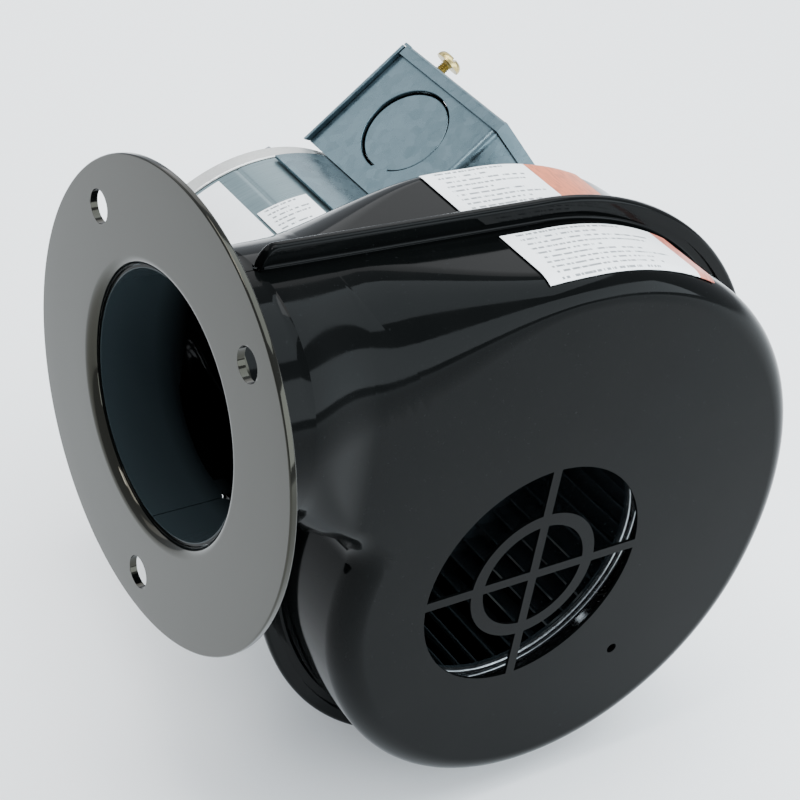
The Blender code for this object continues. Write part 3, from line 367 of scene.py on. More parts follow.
# %% Laminations and winding
def banded(name, dark, pale, pitch_mm, along_shaft, metallic, roughness):
    made, tree, shader = finish(name, metallic=metallic)
    place = place_mm(tree)
    if along_shaft:
        source = place
    else:
        centred = node(tree, "ShaderNodeVectorMath", {0: place, 1: (AXIS_X * 1000, 0, AXIS_Z * 1000)},
                       operation="SUBTRACT")
        split = node(tree, "ShaderNodeSeparateXYZ", {0: centred.outputs[0]})
        flat = node(tree, "ShaderNodeCombineXYZ", {0: split.outputs[0], 2: split.outputs[2]})
        both = arithmetic(tree, "ADD", length(tree, flat.outputs[0]), split.outputs[1])
        source = node(tree, "ShaderNodeCombineXYZ", {1: both}).outputs[0]
    bands = node(tree, "ShaderNodeTexWave", {
        "Vector": source, "Scale": TAU / (20 * pitch_mm), "Distortion": 0.6, "Detail": 2.0,
        "Detail Scale": 0.5,
    }, bands_direction="Y")
    cloud = noise(tree, place, 1 / 5, 3)
    tone = mixed(tree, bands.outputs["Fac"], dark, pale)
    link(tree, mixed(tree, ranged(tree, cloud, 0.3, 0.7, 0.0, 0.5), tone, dark), shader, "Base Color")
    link(tree, ranged(tree, cloud, 0.3, 0.7, roughness[0], roughness[1]), shader, "Roughness")
    bump(tree, shader, bands.outputs["Fac"], 0.08, 0.8)
    return made


LAMINATIONS = banded("lamination_stack", "#2c2e30", "#6a6d70", 0.5, True, 0.9, (0.38, 0.5))
COPPER_WIRE = banded("varnished_copper_wire", "#5a260f", "#b0603a", 0.6, False, 0.85, (0.22, 0.38))
print("banded finishes:", LAMINATIONS.name, COPPER_WIRE.name)

# %% [markdown]
# The soft and printed finishes: moulded black rubber, PVC wire insulation, a moulded phenolic switch, and
# label film. The labels carry no words. Their print is rows of short grey strokes, worked out from the
# label's own map in millimetres: one row every 2.1 or 2.3 mm, broken into strokes by a noise that changes
# from row to row.

# %% Rubber, insulation and label film
def moulded(name, dark, pale, roughness, grain_mm):
    made, tree, shader = finish(name, metallic=0.0)
    place = place_mm(tree)
    grain = noise(tree, place, 1 / grain_mm, 3)
    link(tree, mixed(tree, grain, dark, pale), shader, "Base Color")
    cloud = noise(tree, place, 1 / 4, 3)
    link(tree, ranged(tree, cloud, 0.3, 0.7, roughness - 0.06, roughness + 0.06), shader, "Roughness")
    bump(tree, shader, grain, 0.02, 0.5)
    return made


def label_film(name, row_mm, length_mm, margin_mm, block):
    """Printed film. block is (from, to, colour) along the label in mm, for a solid printed panel."""
    made, tree, shader = finish(name, metallic=0.0)
    split = node(tree, "ShaderNodeSeparateXYZ", {0: node(tree, "ShaderNodeUVMap").outputs[0]})

    def maths(operation, first, second=0.0):
        return arithmetic(tree, operation, first, second)

    along, across = (maths("MULTIPLY", split.outputs[i], 1000.0) for i in (0, 1))
    rows = maths("DIVIDE", across, row_mm)
    row = maths("FLOOR", rows)
    in_row = maths("LESS_THAN", maths("ABSOLUTE", maths("SUBTRACT", maths("FRACT", rows), 0.5)), 0.17)
    spots = {0: maths("MULTIPLY", along, 1.15), 1: maths("MULTIPLY", row, 7.31)}
    spot = node(tree, "ShaderNodeCombineXYZ", spots)
    strokes = node(tree, "ShaderNodeTexNoise", {"Vector": spot.outputs[0], "Scale": 1.0, "Detail": 2.0},
                   noise_dimensions="2D")
    printed = maths("GREATER_THAN", strokes.outputs[0], 0.46)
    ends = node(tree, "ShaderNodeTexWhiteNoise", {"W": row}, noise_dimensions="1D").outputs[0]
    last = maths("MULTIPLY", maths("ADD", maths("MULTIPLY", ends, 0.45), 0.5), length_mm)
    inside = maths("MULTIPLY", maths("LESS_THAN", along, last), maths("GREATER_THAN", along, margin_mm))
    ink = maths("MULTIPLY", maths("MULTIPLY", in_row, printed), inside)
    paper = mixed(tree, noise(tree, place_mm(tree), 1 / 6, 3), "#eef1f2", "#fbfcfc")
    tone = mixed(tree, maths("MULTIPLY", ink, 0.85), paper, "#4e5559")
    start, stop, colour = block
    panel = maths("MULTIPLY", maths("GREATER_THAN", along, start), maths("LESS_THAN", along, stop))
    mottled = mixed(tree, ranged(tree, strokes.outputs[0], 0.52, 0.6, 0.0, 0.5), colour, "#7a3420")
    link(tree, mixed(tree, panel, tone, mottled), shader, "Base Color")
    link(tree, ranged(tree, ink, 0, 1, 0.34, 0.5), shader, "Roughness")
    bump(tree, shader, noise(tree, place_mm(tree), 1 / 1.5, 2), 0.01, 0.4)
    return made


RUBBER = moulded("black_rubber", "#101112", "#1b1c1d", 0.6, 0.6)
PHENOLIC = moulded("black_phenolic", "#151313", "#221e1c", 0.35, 0.4)
BLACK_PVC = moulded("black_insulation", "#0c0c0d", "#18181a", 0.38, 1.2)
WHITE_PVC = moulded("white_insulation", "#cfcfc8", "#e6e6e0", 0.38, 1.2)
print("soft finishes done")

# %% [markdown]
# ## Making meshes
#
# Three kinds of shape make almost the whole fan: a profile spun about a line, an outline pushed along a
# line, and a grid of points. A cut is worked out at once with a Boolean modifier whose result is kept as
# plain mesh, and afterwards its new edges are rounded a little, because no stamped edge is perfectly sharp
# and the round is what catches the light.

# %% Mesh helpers
def polar(radius, angle):
    return radius * math.cos(angle), radius * math.sin(angle)


def ease(t):
    """0 to 1 with level ends."""
    t = min(max(t, 0), 1)
    return t * t * (3 - 2 * t)


def arc(centre, radius, start, end, steps):
    """Points round part of a circle, angles in degrees."""
    points = []
    for i in range(steps + 1):
        angle = math.radians(start + (end - start) * i / steps)
        points.append((centre[0] + radius * math.cos(angle), centre[1] + radius * math.sin(angle)))
    return points


def spin(profile, steps=96, axis="Y"):
    """A bmesh from a closed profile of (radius, place along the axis)."""
    bm = bmesh.new()
    verts = []
    for radius, along in profile:
        verts.append(bm.verts.new((along, 0, radius) if axis == "X" else (radius, along, 0)))
    edges = [bm.edges.new((verts[i - 1], verts[i])) for i in range(len(verts))]
    line = Vector((1, 0, 0)) if axis == "X" else Vector((0, 1, 0))
    bmesh.ops.spin(bm, geom=verts + edges, cent=(0, 0, 0), axis=line, angle=TAU, steps=steps, use_merge=True,
                   use_duplicate=False)
    return bm


def add_spun(bm, profile, steps):
    """Adds a spun profile, facing outwards, to a bmesh that may hold other parts."""
    part = spin(profile, steps)
    bmesh.ops.recalc_face_normals(part, faces=part.faces)
    kept = bpy.data.meshes.new("spun")
    part.to_mesh(kept)
    part.free()
    bm.from_mesh(kept)


def prism(bm, outline, start, end, axis="Y"):
    """Adds a capped prism to a bmesh: an outline of two coordinates, from start to end along the axis."""
    place = {
        "X": lambda point, along: (along, point[0], point[1]),
        "Y": lambda point, along: (point[0], along, point[1]),
        "Z": lambda point, along: (point[0], point[1], along),
    }[axis]
    low = [bm.verts.new(place(point, start)) for point in outline]
    high = [bm.verts.new(place(point, end)) for point in outline]
    bm.faces.new(low)
    bm.faces.new(high[::-1])
    for i in range(len(outline)):
        bm.faces.new((low[i - 1], high[i - 1], high[i], low[i]))


def rod(bm, start, end, radius, sides=12):
    """A capped cylinder from start to end, added to a bmesh."""
    start, end = Vector(start), Vector(end)
    way = (end - start).normalized()
    side = way.orthogonal().normalized()
    other = way.cross(side)
    rings = []
    for centre in (start, end):
        spokes = (side * math.cos(TAU * i / sides) + other * math.sin(TAU * i / sides) for i in range(sides))
        rings.append([bm.verts.new(centre + radius * spoke) for spoke in spokes])
    bm.faces.new(rings[0][::-1])
    bm.faces.new(rings[1])
    for i in range(sides):
        bm.faces.new((rings[0][i - 1], rings[0][i], rings[1][i], rings[1][i - 1]))


def fill_grid(bm, rows, way):
    """Faces between neighbouring rows of points; way mirrors them in the seam plane."""
    verts = [[bm.verts.new((x, y * way, z)) for x, y, z in row] for row in rows]
    for a, b in zip(verts, verts[1:]):
        for i in range(len(a) - 1):
            bm.faces.new((a[i], a[i + 1], b[i + 1], b[i]))


def tidy(bm, recalculate=True):
    bmesh.ops.remove_doubles(bm, verts=bm.verts, dist=1e-6)
    bmesh.ops.dissolve_degenerate(bm, edges=bm.edges, dist=1e-7)
    if recalculate:
        bmesh.ops.recalc_face_normals(bm, faces=bm.faces)


def thing_from(name, bm, place=None, recalculate=True):
    """An object at the origin; place is where the bmesh's own frame lies."""
    if place is not None:
        bm.transform(place)
    tidy(bm, recalculate)
    mesh = bpy.data.meshes.new(name)
    bm.to_mesh(mesh)
    bm.free()
    thing = bpy.data.objects.new(name, mesh)
    bpy.context.scene.collection.objects.link(thing)
    return thing


def settle(thing):
    """Works out an object's modifiers and keeps the result as its mesh."""
    bpy.context.view_layer.update()
    graph = bpy.context.evaluated_depsgraph_get()
    mesh = bpy.data.meshes.new_from_object(thing.evaluated_get(graph))
    thing.modifiers.clear()
    thing.data = mesh
    return thing


def cut(thing, tool, operation="DIFFERENCE"):
    modifier = thing.modifiers.new("cut", "BOOLEAN")
    modifier.operation = operation
    modifier.solver = "EXACT"
    modifier.object = tool
    settle(thing)
    bpy.data.objects.remove(tool)


def drill(name, start, end, radius, sides):
    """A cylinder in the wiring box's own frame, to cut a round hole with."""
    tool = bmesh.new()
    rod(tool, start, end, radius, sides)
    return thing_from(name, tool, BOX_PLACE)


def soften(thing, width, over=40, where=None):
    """Rounds the edges sharper than an angle, wherever the test says."""
    bm = bmesh.new()
    bm.from_mesh(thing.data)
    bmesh.ops.remove_doubles(bm, verts=bm.verts, dist=1e-6)
    flat = set(vert for vert in bm.verts if where is None or where(vert.co))
    between = [edge for edge in bm.edges if flat.issuperset(edge.verts)]
    bmesh.ops.dissolve_limit(bm, angle_limit=math.radians(0.4), verts=list(flat), edges=between)
    chosen = []
    for edge in bm.edges:
        if len(edge.link_faces) != 2 or edge.calc_face_angle() < math.radians(over):
            continue
        if where is None or all(where(vert.co) for vert in edge.verts):
            chosen.append(edge)
    bmesh.ops.bevel(bm, geom=chosen, offset=width, segments=2, profile=0.5, affect="EDGES",
                    clamp_overlap=True)
    bm.to_mesh(thing.data)
    bm.free()


def done(thing, material, body, slot, *nodes, sharp=35):
    """Gives a piece its finish and its place in the frame."""
    thing.data.materials.clear()
    thing.data.materials.append(material)
    thing.data.polygons.foreach_set("material_index", [0] * len(thing.data.polygons))
    thing.data.shade_smooth()
    thing.data.set_sharp_from_angle(angle=math.radians(sharp))
    weigh = thing.modifiers.new("flat_faces_stay_flat", "WEIGHTED_NORMAL")
    weigh.keep_sharp = True
    weigh.weight = 60
    settle(thing)
    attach(thing, body)
    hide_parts(*nodes)
    faces = sum(len(face.vertices) - 2 for face in thing.data.polygons)
    print(thing.name, "triangles", faces)

# %% [markdown]
# ## The shape of the housing
#
# A blower's scroll opens out round the wheel, from the tongue, where the outlet is cut off, to the outlet.
# Here the scroll's radius grows smoothly with the angle, a straight top wall leads to the neck, and the
# neck turns from flat-sided to round before it meets the flange. Every point of a half's skin comes from
# its distance to the nearest wall, through the radius of the corner there.

# %% Rules of the shape
TONGUE_X = AXIS_X - math.sqrt((CUTOFF_R + TONGUE_R) ** 2 - (AXIS_Z + NECK_R + TONGUE_R) ** 2)
TONGUE_Z = -NECK_R - TONGUE_R
TONGUE_END = math.atan2(TONGUE_Z - AXIS_Z, TONGUE_X - AXIS_X)
# A line from the shaft that grazes the tongue; the neck opens into the scroll where it touches.
MOUTH_ANGLE = TONGUE_END - math.asin(TONGUE_R / (CUTOFF_R + TONGUE_R))
MOUTH_REACH = math.sqrt((CUTOFF_R + TONGUE_R) ** 2 - TONGUE_R ** 2)
MOUTH_X = AXIS_X + MOUTH_REACH * math.cos(MOUTH_ANGLE)

# How fine the skin's grids are: between rays, round a corner, across the face and up the mouth.
RAY_STEP = math.radians(2)
CORNER_STEPS, FACE_STEPS, MOUTH_STEPS = 9, 6, 44

# A pressed half: which way it faces, how deep it is, its corner radius and where the top corner reaches that.
Pressing = namedtuple("Pressing", "way depth corner square_to")
FRONT = Pressing(-1, FRONT_DEPTH, FRONT_CORNER, FRONT_SQUARE_TO)
REAR = Pressing(1, REAR_DEPTH, REAR_CORNER, REAR_SQUARE_TO)


def crown_z(x):
    """Height of the straight top wall, from the neck's end to above the shaft."""
    share = min(max((x - HEM_START) / (AXIS_X - HEM_START), 0), 1)
    return NECK_R + (AXIS_Z + CROWN_R - NECK_R) * share


def scroll_radius(angle):
    swept = angle - TONGUE_ANGLE
    opened = SCROLL_GROWTH * ease((swept - GROWTH_START) / GROWTH_SPAN)
    crown = (CROWN_R - CUTOFF_R - SCROLL_GROWTH) * ease((swept - CROWN_START) / CROWN_SPAN)
    return CUTOFF_R + opened + crown


def wall_radius(angle):
    """Distance from the shaft's line to the wall, from the tongue round to the mouth's top."""
    if angle < TONGUE_END:
        reach = math.hypot(TONGUE_X - AXIS_X, TONGUE_Z - AXIS_Z)
        offset = angle - TONGUE_END
        return reach * math.cos(offset) - math.sqrt(max(TONGUE_R ** 2 - (reach * math.sin(offset)) ** 2, 0))
    if angle <= 2.5 * math.pi:
        return scroll_radius(angle)
    slope = (crown_z(MOUTH_X) - crown_z(AXIS_X)) / (MOUTH_X - AXIS_X)
    return CROWN_R / (math.sin(angle) - slope * math.cos(angle))


def neck_floor_z(x):
    """Height of the neck's lower wall; it rounds down a little over the tongue."""
    over = min(max(x - TONGUE_X, 0), TONGUE_R)
    return TONGUE_Z + math.sqrt(TONGUE_R ** 2 - over ** 2)


def squareness(x):
    """0 where the neck is a round tube, 1 where the housing is flat-sided."""
    return ease((x - NECK_ROUND_TO) / (BLEND_TO - NECK_ROUND_TO))


def face_depth(x, half):
    return NECK_R + (half.depth - NECK_R) * squareness(x)


def top_corner(x, half):
    return NECK_R + (half.corner - NECK_R) * ease((x - NECK_ROUND_TO) / (half.square_to - NECK_ROUND_TO))


def floor_corner(x, half):
    return NECK_R + (half.corner - NECK_R) * squareness(x)


def seam_y(x, rim):
    """Where a half's wall starts, from the seam plane: a plain butt joint on the neck, then the hem."""
    return rim if x >= HEM_START else GAP / 2


def rounded(distance, corner, depth, start):
    """Depth of the skin at a distance in from a wall whose corner has the given radius."""
    low = max(depth - corner, start + 0.0006)
    inside = 1 - min(distance / corner, 1)
    return low + (depth - low) * math.sqrt(1 - inside * inside)


def skin_depth(x, z, half, rim):
    """Depth of a half's skin from the seam plane, at a point of the neck or of its mouth."""
    start = seam_y(x, rim)
    off_floor = math.hypot(max(x - TONGUE_X, 0), z - TONGUE_Z) - TONGUE_R
    reach = face_depth(x, half)
    under_top = rounded(max(crown_z(x) - z, 0), top_corner(x, half), reach, start)
    over_floor = rounded(max(off_floor, 0), floor_corner(x, half), reach, start)
    return min(under_top, over_floor)


def half_skin(half, hem, rim, middle_r):
    """The outer skin of a housing half, as grids of (x, depth, z) points from the rim inwards.

    hem is a list of (stand-off from the wall, depth) rows outside the wall, outermost first. The scroll is a
    fan of rays about the shaft's line; the neck is a list of sections with the hem above and below each; the
    two meet along the mouth.
    """
    last = TAU + math.atan2(crown_z(MOUTH_X) - AXIS_Z, MOUTH_X - AXIS_X)
    count = round((last - TONGUE_END) / RAY_STEP)
    angles = tongue_angles(14) + [TONGUE_END + (last - TONGUE_END) * i / count for i in range(count + 1)]
    scroll = [scroll_ray(angle, half, hem, rim, middle_r) for angle in angles]
    mouth = mouth_rays(scroll, len(hem) + 1, half, rim, middle_r)
    neck = []
    for x in neck_stations():
        section = [(x, skin_depth(x, z, half, rim), z) for z in section_heights(x)]
        if x == MOUTH_X:
            section = [ray[0] for ray in mouth]
        away_x, away_z = tongue_normal(x, neck_floor_z(x))
        above = [(x, y, crown_z(x) + out) for out, y in hem_rows(x, hem, rim)]
        below = [(x + out * away_x, y, neck_floor_z(x) + out * away_z) for out, y in hem_rows(x, hem, rim)]
        neck.append((above, section, below))
    return scroll, mouth, neck


def section_heights(x):
    """Heights across the neck, from top wall to floor, closer together at both ends."""
    drop = neck_floor_z(x) - crown_z(x)
    shares = [(1 - math.cos(math.pi * j / MOUTH_STEPS)) / 2 for j in range(MOUTH_STEPS + 1)]
    return [crown_z(x) + drop * share for share in shares]


def mouth_rays(scroll, edge, half, rim, middle_r):
    """The fan of rays from the mouth to the middle, spaced along each ray as its two neighbours are."""
    top_ray, floor_ray = scroll[-1][edge:], scroll[0][edge:]
    spacing = []
    for ray in (top_ray, floor_ray):
        reaches = [math.hypot(x - AXIS_X, z - AXIS_Z) - middle_r for x, y, z in ray]
        spacing.append([reach / reaches[0] for reach in reaches])
    mouth = [top_ray]
    heights = section_heights(MOUTH_X)
    for z in heights[1:-1]:
        share = (z - heights[0]) / (heights[-1] - heights[0])
        reach = math.hypot(MOUTH_X - AXIS_X, z - AXIS_Z)
        angle = math.atan2(z - AXIS_Z, MOUTH_X - AXIS_X)
        ray = []
        for top, floor in zip(*spacing):
            across, up = polar(middle_r + (reach - middle_r) * (top + (floor - top) * share), angle)
            ray.append((AXIS_X + across, skin_depth(AXIS_X + across, AXIS_Z + up, half, rim), AXIS_Z + up))
        mouth.append(ray)
    mouth.append(floor_ray)
    return mouth


def hem_rows(x, hem, rim):
    """The rows outside the wall at a place on the neck: the hem with its rounded nose, or the wall's edge."""
    if x < HEM_START:
        return [(0, seam_y(x, rim))]
    short = max(1 - (x - HEM_START) / HEM_NOSE, 0)
    height = max(math.sqrt(1 - short * short), 0.12)
    return [(out * height, along) for out, along in hem] + [(0, rim)]


def tongue_normal(x, z):
    """The way out of the housing on the neck's floor and round the tongue."""
    way = Vector((TONGUE_X - max(x, TONGUE_X), TONGUE_Z - z)).normalized()
    return way.x, way.y


def tongue_angles(steps):
    """Ray angles whose wall points lie evenly round the tongue, from the mouth on."""
    facing = math.atan2(AXIS_Z - TONGUE_Z, AXIS_X - TONGUE_X)
    turn = math.pi / 2 - (TONGUE_END - MOUTH_ANGLE)
    angles = []
    for i in range(steps):
        x, z = polar(TONGUE_R, facing + turn * (1 - i / steps))
        angles.append(math.atan2(TONGUE_Z + z - AXIS_Z, TONGUE_X + x - AXIS_X))
    return angles


def hem_direction(angle, x, z):
    """The way the hem stands out from the wall where a ray at this angle meets it."""
    if angle < TONGUE_END:
        return tongue_normal(x, z)
    if angle > 2.5 * math.pi:
        return 0, 1
    return polar(1, angle)


def scroll_ray(angle, half, hem, rim, middle_r):
    """One line of skin points from the hem's edge, down the wall and across the face to the middle."""
    reach = wall_radius(angle)
    x, z = polar(1, angle)
    wall_x, wall_z = AXIS_X + reach * x, AXIS_Z + reach * z
    corner = corner_at(angle, half)
    away_x, away_z = hem_direction(angle, wall_x, wall_z)
    ray = [(wall_x + out * away_x, y, wall_z + out * away_z) for out, y in list(hem) + [(0, rim)]]
    places = [corner * (1 - math.cos(math.pi / 2 * k / CORNER_STEPS)) for k in range(CORNER_STEPS + 1)]
    inner = reach - corner
    places += [corner + (inner - middle_r) * k / FACE_STEPS for k in range(1, FACE_STEPS + 1)]
    for inwards in places:
        here_x, here_z = AXIS_X + (reach - inwards) * x, AXIS_Z + (reach - inwards) * z
        if TONGUE_END <= angle <= 2.5 * math.pi:
            y = rounded(inwards, corner, half.depth, rim)
        else:
            y = skin_depth(here_x, here_z, half, rim)
        ray.append((here_x, y, here_z))
    return ray


def corner_at(angle, half):
    """Radius between the wall and the face, where a ray at this angle meets the wall."""
    wall_x = AXIS_X + wall_radius(angle) * math.cos(angle)
    if angle > 2.5 * math.pi:
        return top_corner(wall_x, half)
    return half.corner if angle >= TONGUE_END else floor_corner(wall_x, half)


print("mouth at x", round(MOUTH_X, 4), "tongue at x", round(TONGUE_X, 4))

# %% [markdown]
# ## The two housing halves
#
# Both halves are pressed from 0.9 mm sheet and crimped together all round: the front half's rim stands up,
# and the rear half's rim is folded forwards over it. Each skin is three grids, a fan of rays about the
# shaft, the fan through the mouth and the sections of the neck, which are merged and then given their
# thickness inwards.

# %% The crimped rim, row by row
FOOT_ROUND = 0.0011
HEM_ROUND = 0.0013


def rear_hem():
    """Rows of (stand-off, depth) from the lip's edge in front, over the top, down to the wall's foot."""
    side = HEM_HEIGHT - HEM_ROUND
    rows = [(HEM_HEIGHT - HEM_OVERLAP, -HEM_HALF)]
    rows += arc((side, HEM_ROUND - HEM_HALF), HEM_ROUND, -90, 0, 5)
    rows += arc((side, HEM_HALF - HEM_ROUND), HEM_ROUND, 0, 90, 5)
    rows += arc((FOOT_ROUND, HEM_HALF + FOOT_ROUND), FOOT_ROUND, -90, -180, 4)[:-1]
    return rows, HEM_HALF + FOOT_ROUND


def front_hem():
    """Rows from the standing edge inside the fold down to the wall's foot."""
    half = HEM_HALF - SHEET - GAP
    rows = [(HEM_HEIGHT - SHEET - GAP, half)]
    rows += arc((FOOT_ROUND, half + FOOT_ROUND), FOOT_ROUND, -90, -180, 4)[:-1]
    return rows, half + FOOT_ROUND


print("rows in the rear rim:", len(rear_hem()[0]), "in the front rim:", len(front_hem()[0]))

# %% One pressed half
def neck_stations():
    """Where the neck's sections lie, from the mouth to the flange, closest where the rim begins."""
    turn = [TONGUE_X + (MOUTH_X - TONGUE_X) * math.cos(math.pi / 2 * i / 8) for i in range(9)]
    turn[0] = MOUTH_X
    body = [TONGUE_X - 0.001 * i for i in range(1, 12)]
    nose = [HEM_START + HEM_NOSE * (1 - i / 8) ** 2 for i in range(9)]
    tube = [HEM_START - 0.0012, 0.0222, 0.020, 0.016, 0.012, 0.008, NECK_END_X + 0.0006, NECK_END_X]
    return turn + [x for x in body if x > nose[0] + 0.0003] + nose + tube


def pressed_half(name, half, hem, rim, middle_r, closed):
    scroll, mouth, neck = half_skin(half, hem, rim, middle_r)
    bm = bmesh.new()
    fill_grid(bm, scroll, half.way)
    fill_grid(bm, mouth, half.way)
    fill_grid(bm, [section for above, section, below in neck], half.way)
    for one, two in zip(neck, neck[1:]):
        for side, edge in ((0, 0), (2, -1)):
            strips = [rows[side] + [rows[1][edge]] for rows in (one, two)]
            length = min(len(strip) for strip in strips)
            fill_grid(bm, [strip[-length:] for strip in strips], half.way)
    bmesh.ops.remove_doubles(bm, verts=bm.verts, dist=1e-6)
    if closed:
        middle = [edge for edge in bm.edges if edge.is_boundary and all(
            abs(math.hypot(vert.co.x - AXIS_X, vert.co.z - AXIS_Z) - middle_r) < 1e-4 for vert in edge.verts)]
        bmesh.ops.holes_fill(bm, edges=middle, sides=0)
    bmesh.ops.recalc_face_normals(bm, faces=bm.faces)
    face = max(bm.faces, key=lambda face: face.calc_center_median().y * half.way)
    if face.normal.y * half.way < 0:
        bmesh.ops.reverse_faces(bm, faces=bm.faces)
    thing = thing_from(name, bm, recalculate=False)
    thicken = thing.modifiers.new("sheet", "SOLIDIFY")
    thicken.thickness = SHEET
    thicken.offset = -1
    thicken.use_even_offset = True
    return settle(thing)


rear_rows, rear_rim = rear_hem()
rear_shell = pressed_half("rear_scroll_half", REAR, rear_rows, rear_rim, REAR_OPENING_R, False)
front_rows, front_rim = front_hem()
front_shell = pressed_half("front_scroll_half", FRONT, front_rows, front_rim, INLET_R + 0.003, True)
print("skins:", len(rear_shell.data.polygons), len(front_shell.data.polygons))

# %% [markdown]
# The inlet guard is stamped from the front face itself: a ring and a cross stay, and eight openings go. The
# outline of an opening is part of a ring less half a bar along each straight side.

# %% Stamp the inlet guard, the drain hole and the bolt holes
def sector(inner, outer, bar, quadrant, steps):
    """Outline of an opening of the inlet guard: a quarter ring, less half a bar along each straight side."""
    half = bar / 2
    points = []
    for radius, order in ((outer, 1), (inner, -1)):
        if radius <= half * 1.5:
            points.append((half, half))
            continue
        start = math.asin(half / radius)
        angles = [start + (math.pi / 2 - 2 * start) * i / steps for i in range(steps + 1)]
        points += [polar(radius, angle) for angle in angles[::order]]
    along, across = polar(1, quadrant * math.pi / 2)
    return [(x * along - z * across, x * across + z * along) for x, z in points]


tool = bmesh.new()
through = (-FRONT_DEPTH - 0.002, -FRONT_DEPTH + 0.003)
for inner, outer in ((0, GUARD_RING[0]), (GUARD_RING[1], INLET_R)):
    for quadrant in range(4):
        prism(tool, sector(inner, outer, GUARD_BAR, quadrant, 24), *through)
drain_x, drain_z = DRAIN_HOLE_AT
rod(tool, (drain_x, through[0], drain_z), (drain_x, through[1], drain_z), DRAIN_HOLE_R, 28)
cut(front_shell, thing_from("guard_tool", tool, SHAFT_PLACE))
soften(front_shell, 0.00022, where=lambda co: abs(co.y + FRONT_DEPTH) < 1e-4)

tool = bmesh.new()
for degrees in BOLT_ANGLES:
    x, z = polar(BOLTS_AT, math.radians(degrees))
    rod(tool, (x, 0.028, z), (x, 0.050, z), BOLT_R + CLEARANCE, 24)
cut(rear_shell, thing_from("bolt_tool", tool, SHAFT_PLACE))
done(front_shell, ENAMEL, "housing", "black_enamel", "front_housing_half")
done(rear_shell, ENAMEL, "housing", "black_enamel", "rear_housing_half")

# %% [markdown]
# ## The outlet flange
#
# A ring blanked from 2 mm plate. Its inner edge is drawn back in a smooth round into a collar that grips
# the neck. Only its profile matters, so it is spun about the outlet's axis, and the three bolt holes are
# cut after.

# %% Flange
bore = NECK_R + GAP
face_round, back_round, edge_round = 0.0028, 0.001, 0.0005
profile = arc((FLANGE_R - edge_round, FLANGE_SHEET - edge_round), edge_round, 90, 0, 3)
profile += arc((FLANGE_R - edge_round, edge_round), edge_round, 0, -90, 3)
profile += [(FLANGE_R - 0.008, 0), (FLANGE_HOLES_AT, 0), (bore + 0.009, 0)]
profile += arc((bore + face_round, face_round), face_round, -90, -180, 9)
profile += [(bore, FLANGE_COLLAR_END), (bore + FLANGE_SHEET, FLANGE_COLLAR_END)]
profile += arc((bore + FLANGE_SHEET + back_round, FLANGE_SHEET + back_round), back_round, 180, 270, 5)
flange = thing_from("outlet_ring", spin(profile, 160, "X"))
tool = bmesh.new()
for degrees in FLANGE_HOLE_ANGLES:
    y, z = polar(FLANGE_HOLES_AT, math.radians(degrees))
    rod(tool, (-0.01, y, z), (0.02, y, z), FLANGE_HOLE_R, 48)
cut(flange, thing_from("hole_tool", tool))


def at_a_hole(co):
    return any(math.dist((co.y, co.z), polar(FLANGE_HOLES_AT, math.radians(degrees))) < FLANGE_HOLE_R + 1e-4
               for degrees in FLANGE_HOLE_ANGLES)


soften(flange, 0.0003, where=at_a_hole)
done(flange, FLANGE_ENAMEL, "housing", "black_enamel", "outlet_flange")

# %% [markdown]
# ## The labels
#
# Four labels are stuck on: one on each half's top wall and two on the motor. A label is a thin solid that
# follows the metal. It carries its own map in real lengths, along and across, so that the print keeps its
# size.

# %% Labels on the scroll and on the motor
def wall_point(arc, angle, half, stand_off):
    """How far inwards and how deep a point lies, by its arc length from the seam over the wall and corner."""
    corner = corner_at(angle, half)
    turn = max(arc - (half.depth - corner), 0) / corner
    depth = min(arc, half.depth - corner) + (corner + stand_off) * math.sin(turn)
    return corner - (corner + stand_off) * math.cos(turn), depth


def film(name, points, material, *nodes):
    """A label from a grid of (outer point, inner point, u, v)."""
    bm = bmesh.new()
    chart = bm.loops.layers.uv.new("film")
    sheets, where = [], {}
    for side in (0, 1):
        sheet = [[bm.verts.new(cell[side]) for cell in row] for row in points]
        for row, cells in zip(sheet, points):
            for vert, cell in zip(row, cells):
                where[vert] = cell[2:]
        sheets.append(sheet)
    rows, columns = len(points) - 1, len(points[0]) - 1
    for sheet in sheets:
        for i in range(rows):
            for j in range(columns):
                bm.faces.new((sheet[i][j], sheet[i + 1][j], sheet[i + 1][j + 1], sheet[i][j + 1]))
    top, under = sheets
    rim = [(i, 0) for i in range(rows)] + [(rows, j) for j in range(columns)]
    rim += [(i, columns) for i in range(rows, 0, -1)] + [(0, j) for j in range(columns, 0, -1)]
    for one, two in zip(rim, rim[1:] + rim[:1]):
        (i, j), (k, m) = one, two
        bm.faces.new((top[i][j], top[k][m], under[k][m], under[i][j]))
    bmesh.ops.recalc_face_normals(bm, faces=bm.faces)
    for face in bm.faces:
        for loop in face.loops:
            loop[chart].uv = where[loop.vert]
    thing = thing_from(name, bm, recalculate=False)
    done(thing, material, "housing", "label", *nodes)


def wall_film(name, half, place, material, node_name):
    (start, stop), arcs = place
    points = []
    for i in range(41):
        angle = TAU + math.radians(stop + (start - stop) * i / 40)
        row = []
        for j in range(25):
            distance = arcs[0] + (arcs[1] - arcs[0]) * j / 24
            cell = []
            for stand_off in (GAP + LABEL_SHEET, GAP):
                inwards, depth = wall_point(distance, angle, half, stand_off)
                x, z = polar(wall_radius(angle) - inwards, angle)
                cell.append((AXIS_X + x, depth * half.way, AXIS_Z + z))
            across = distance - arcs[0] if half.way < 0 else arcs[1] - distance
            row.append((*cell, wall_radius(angle) * math.radians(stop - start) * i / 40, across))
        points.append(row)
    film(name, points, material, node_name)


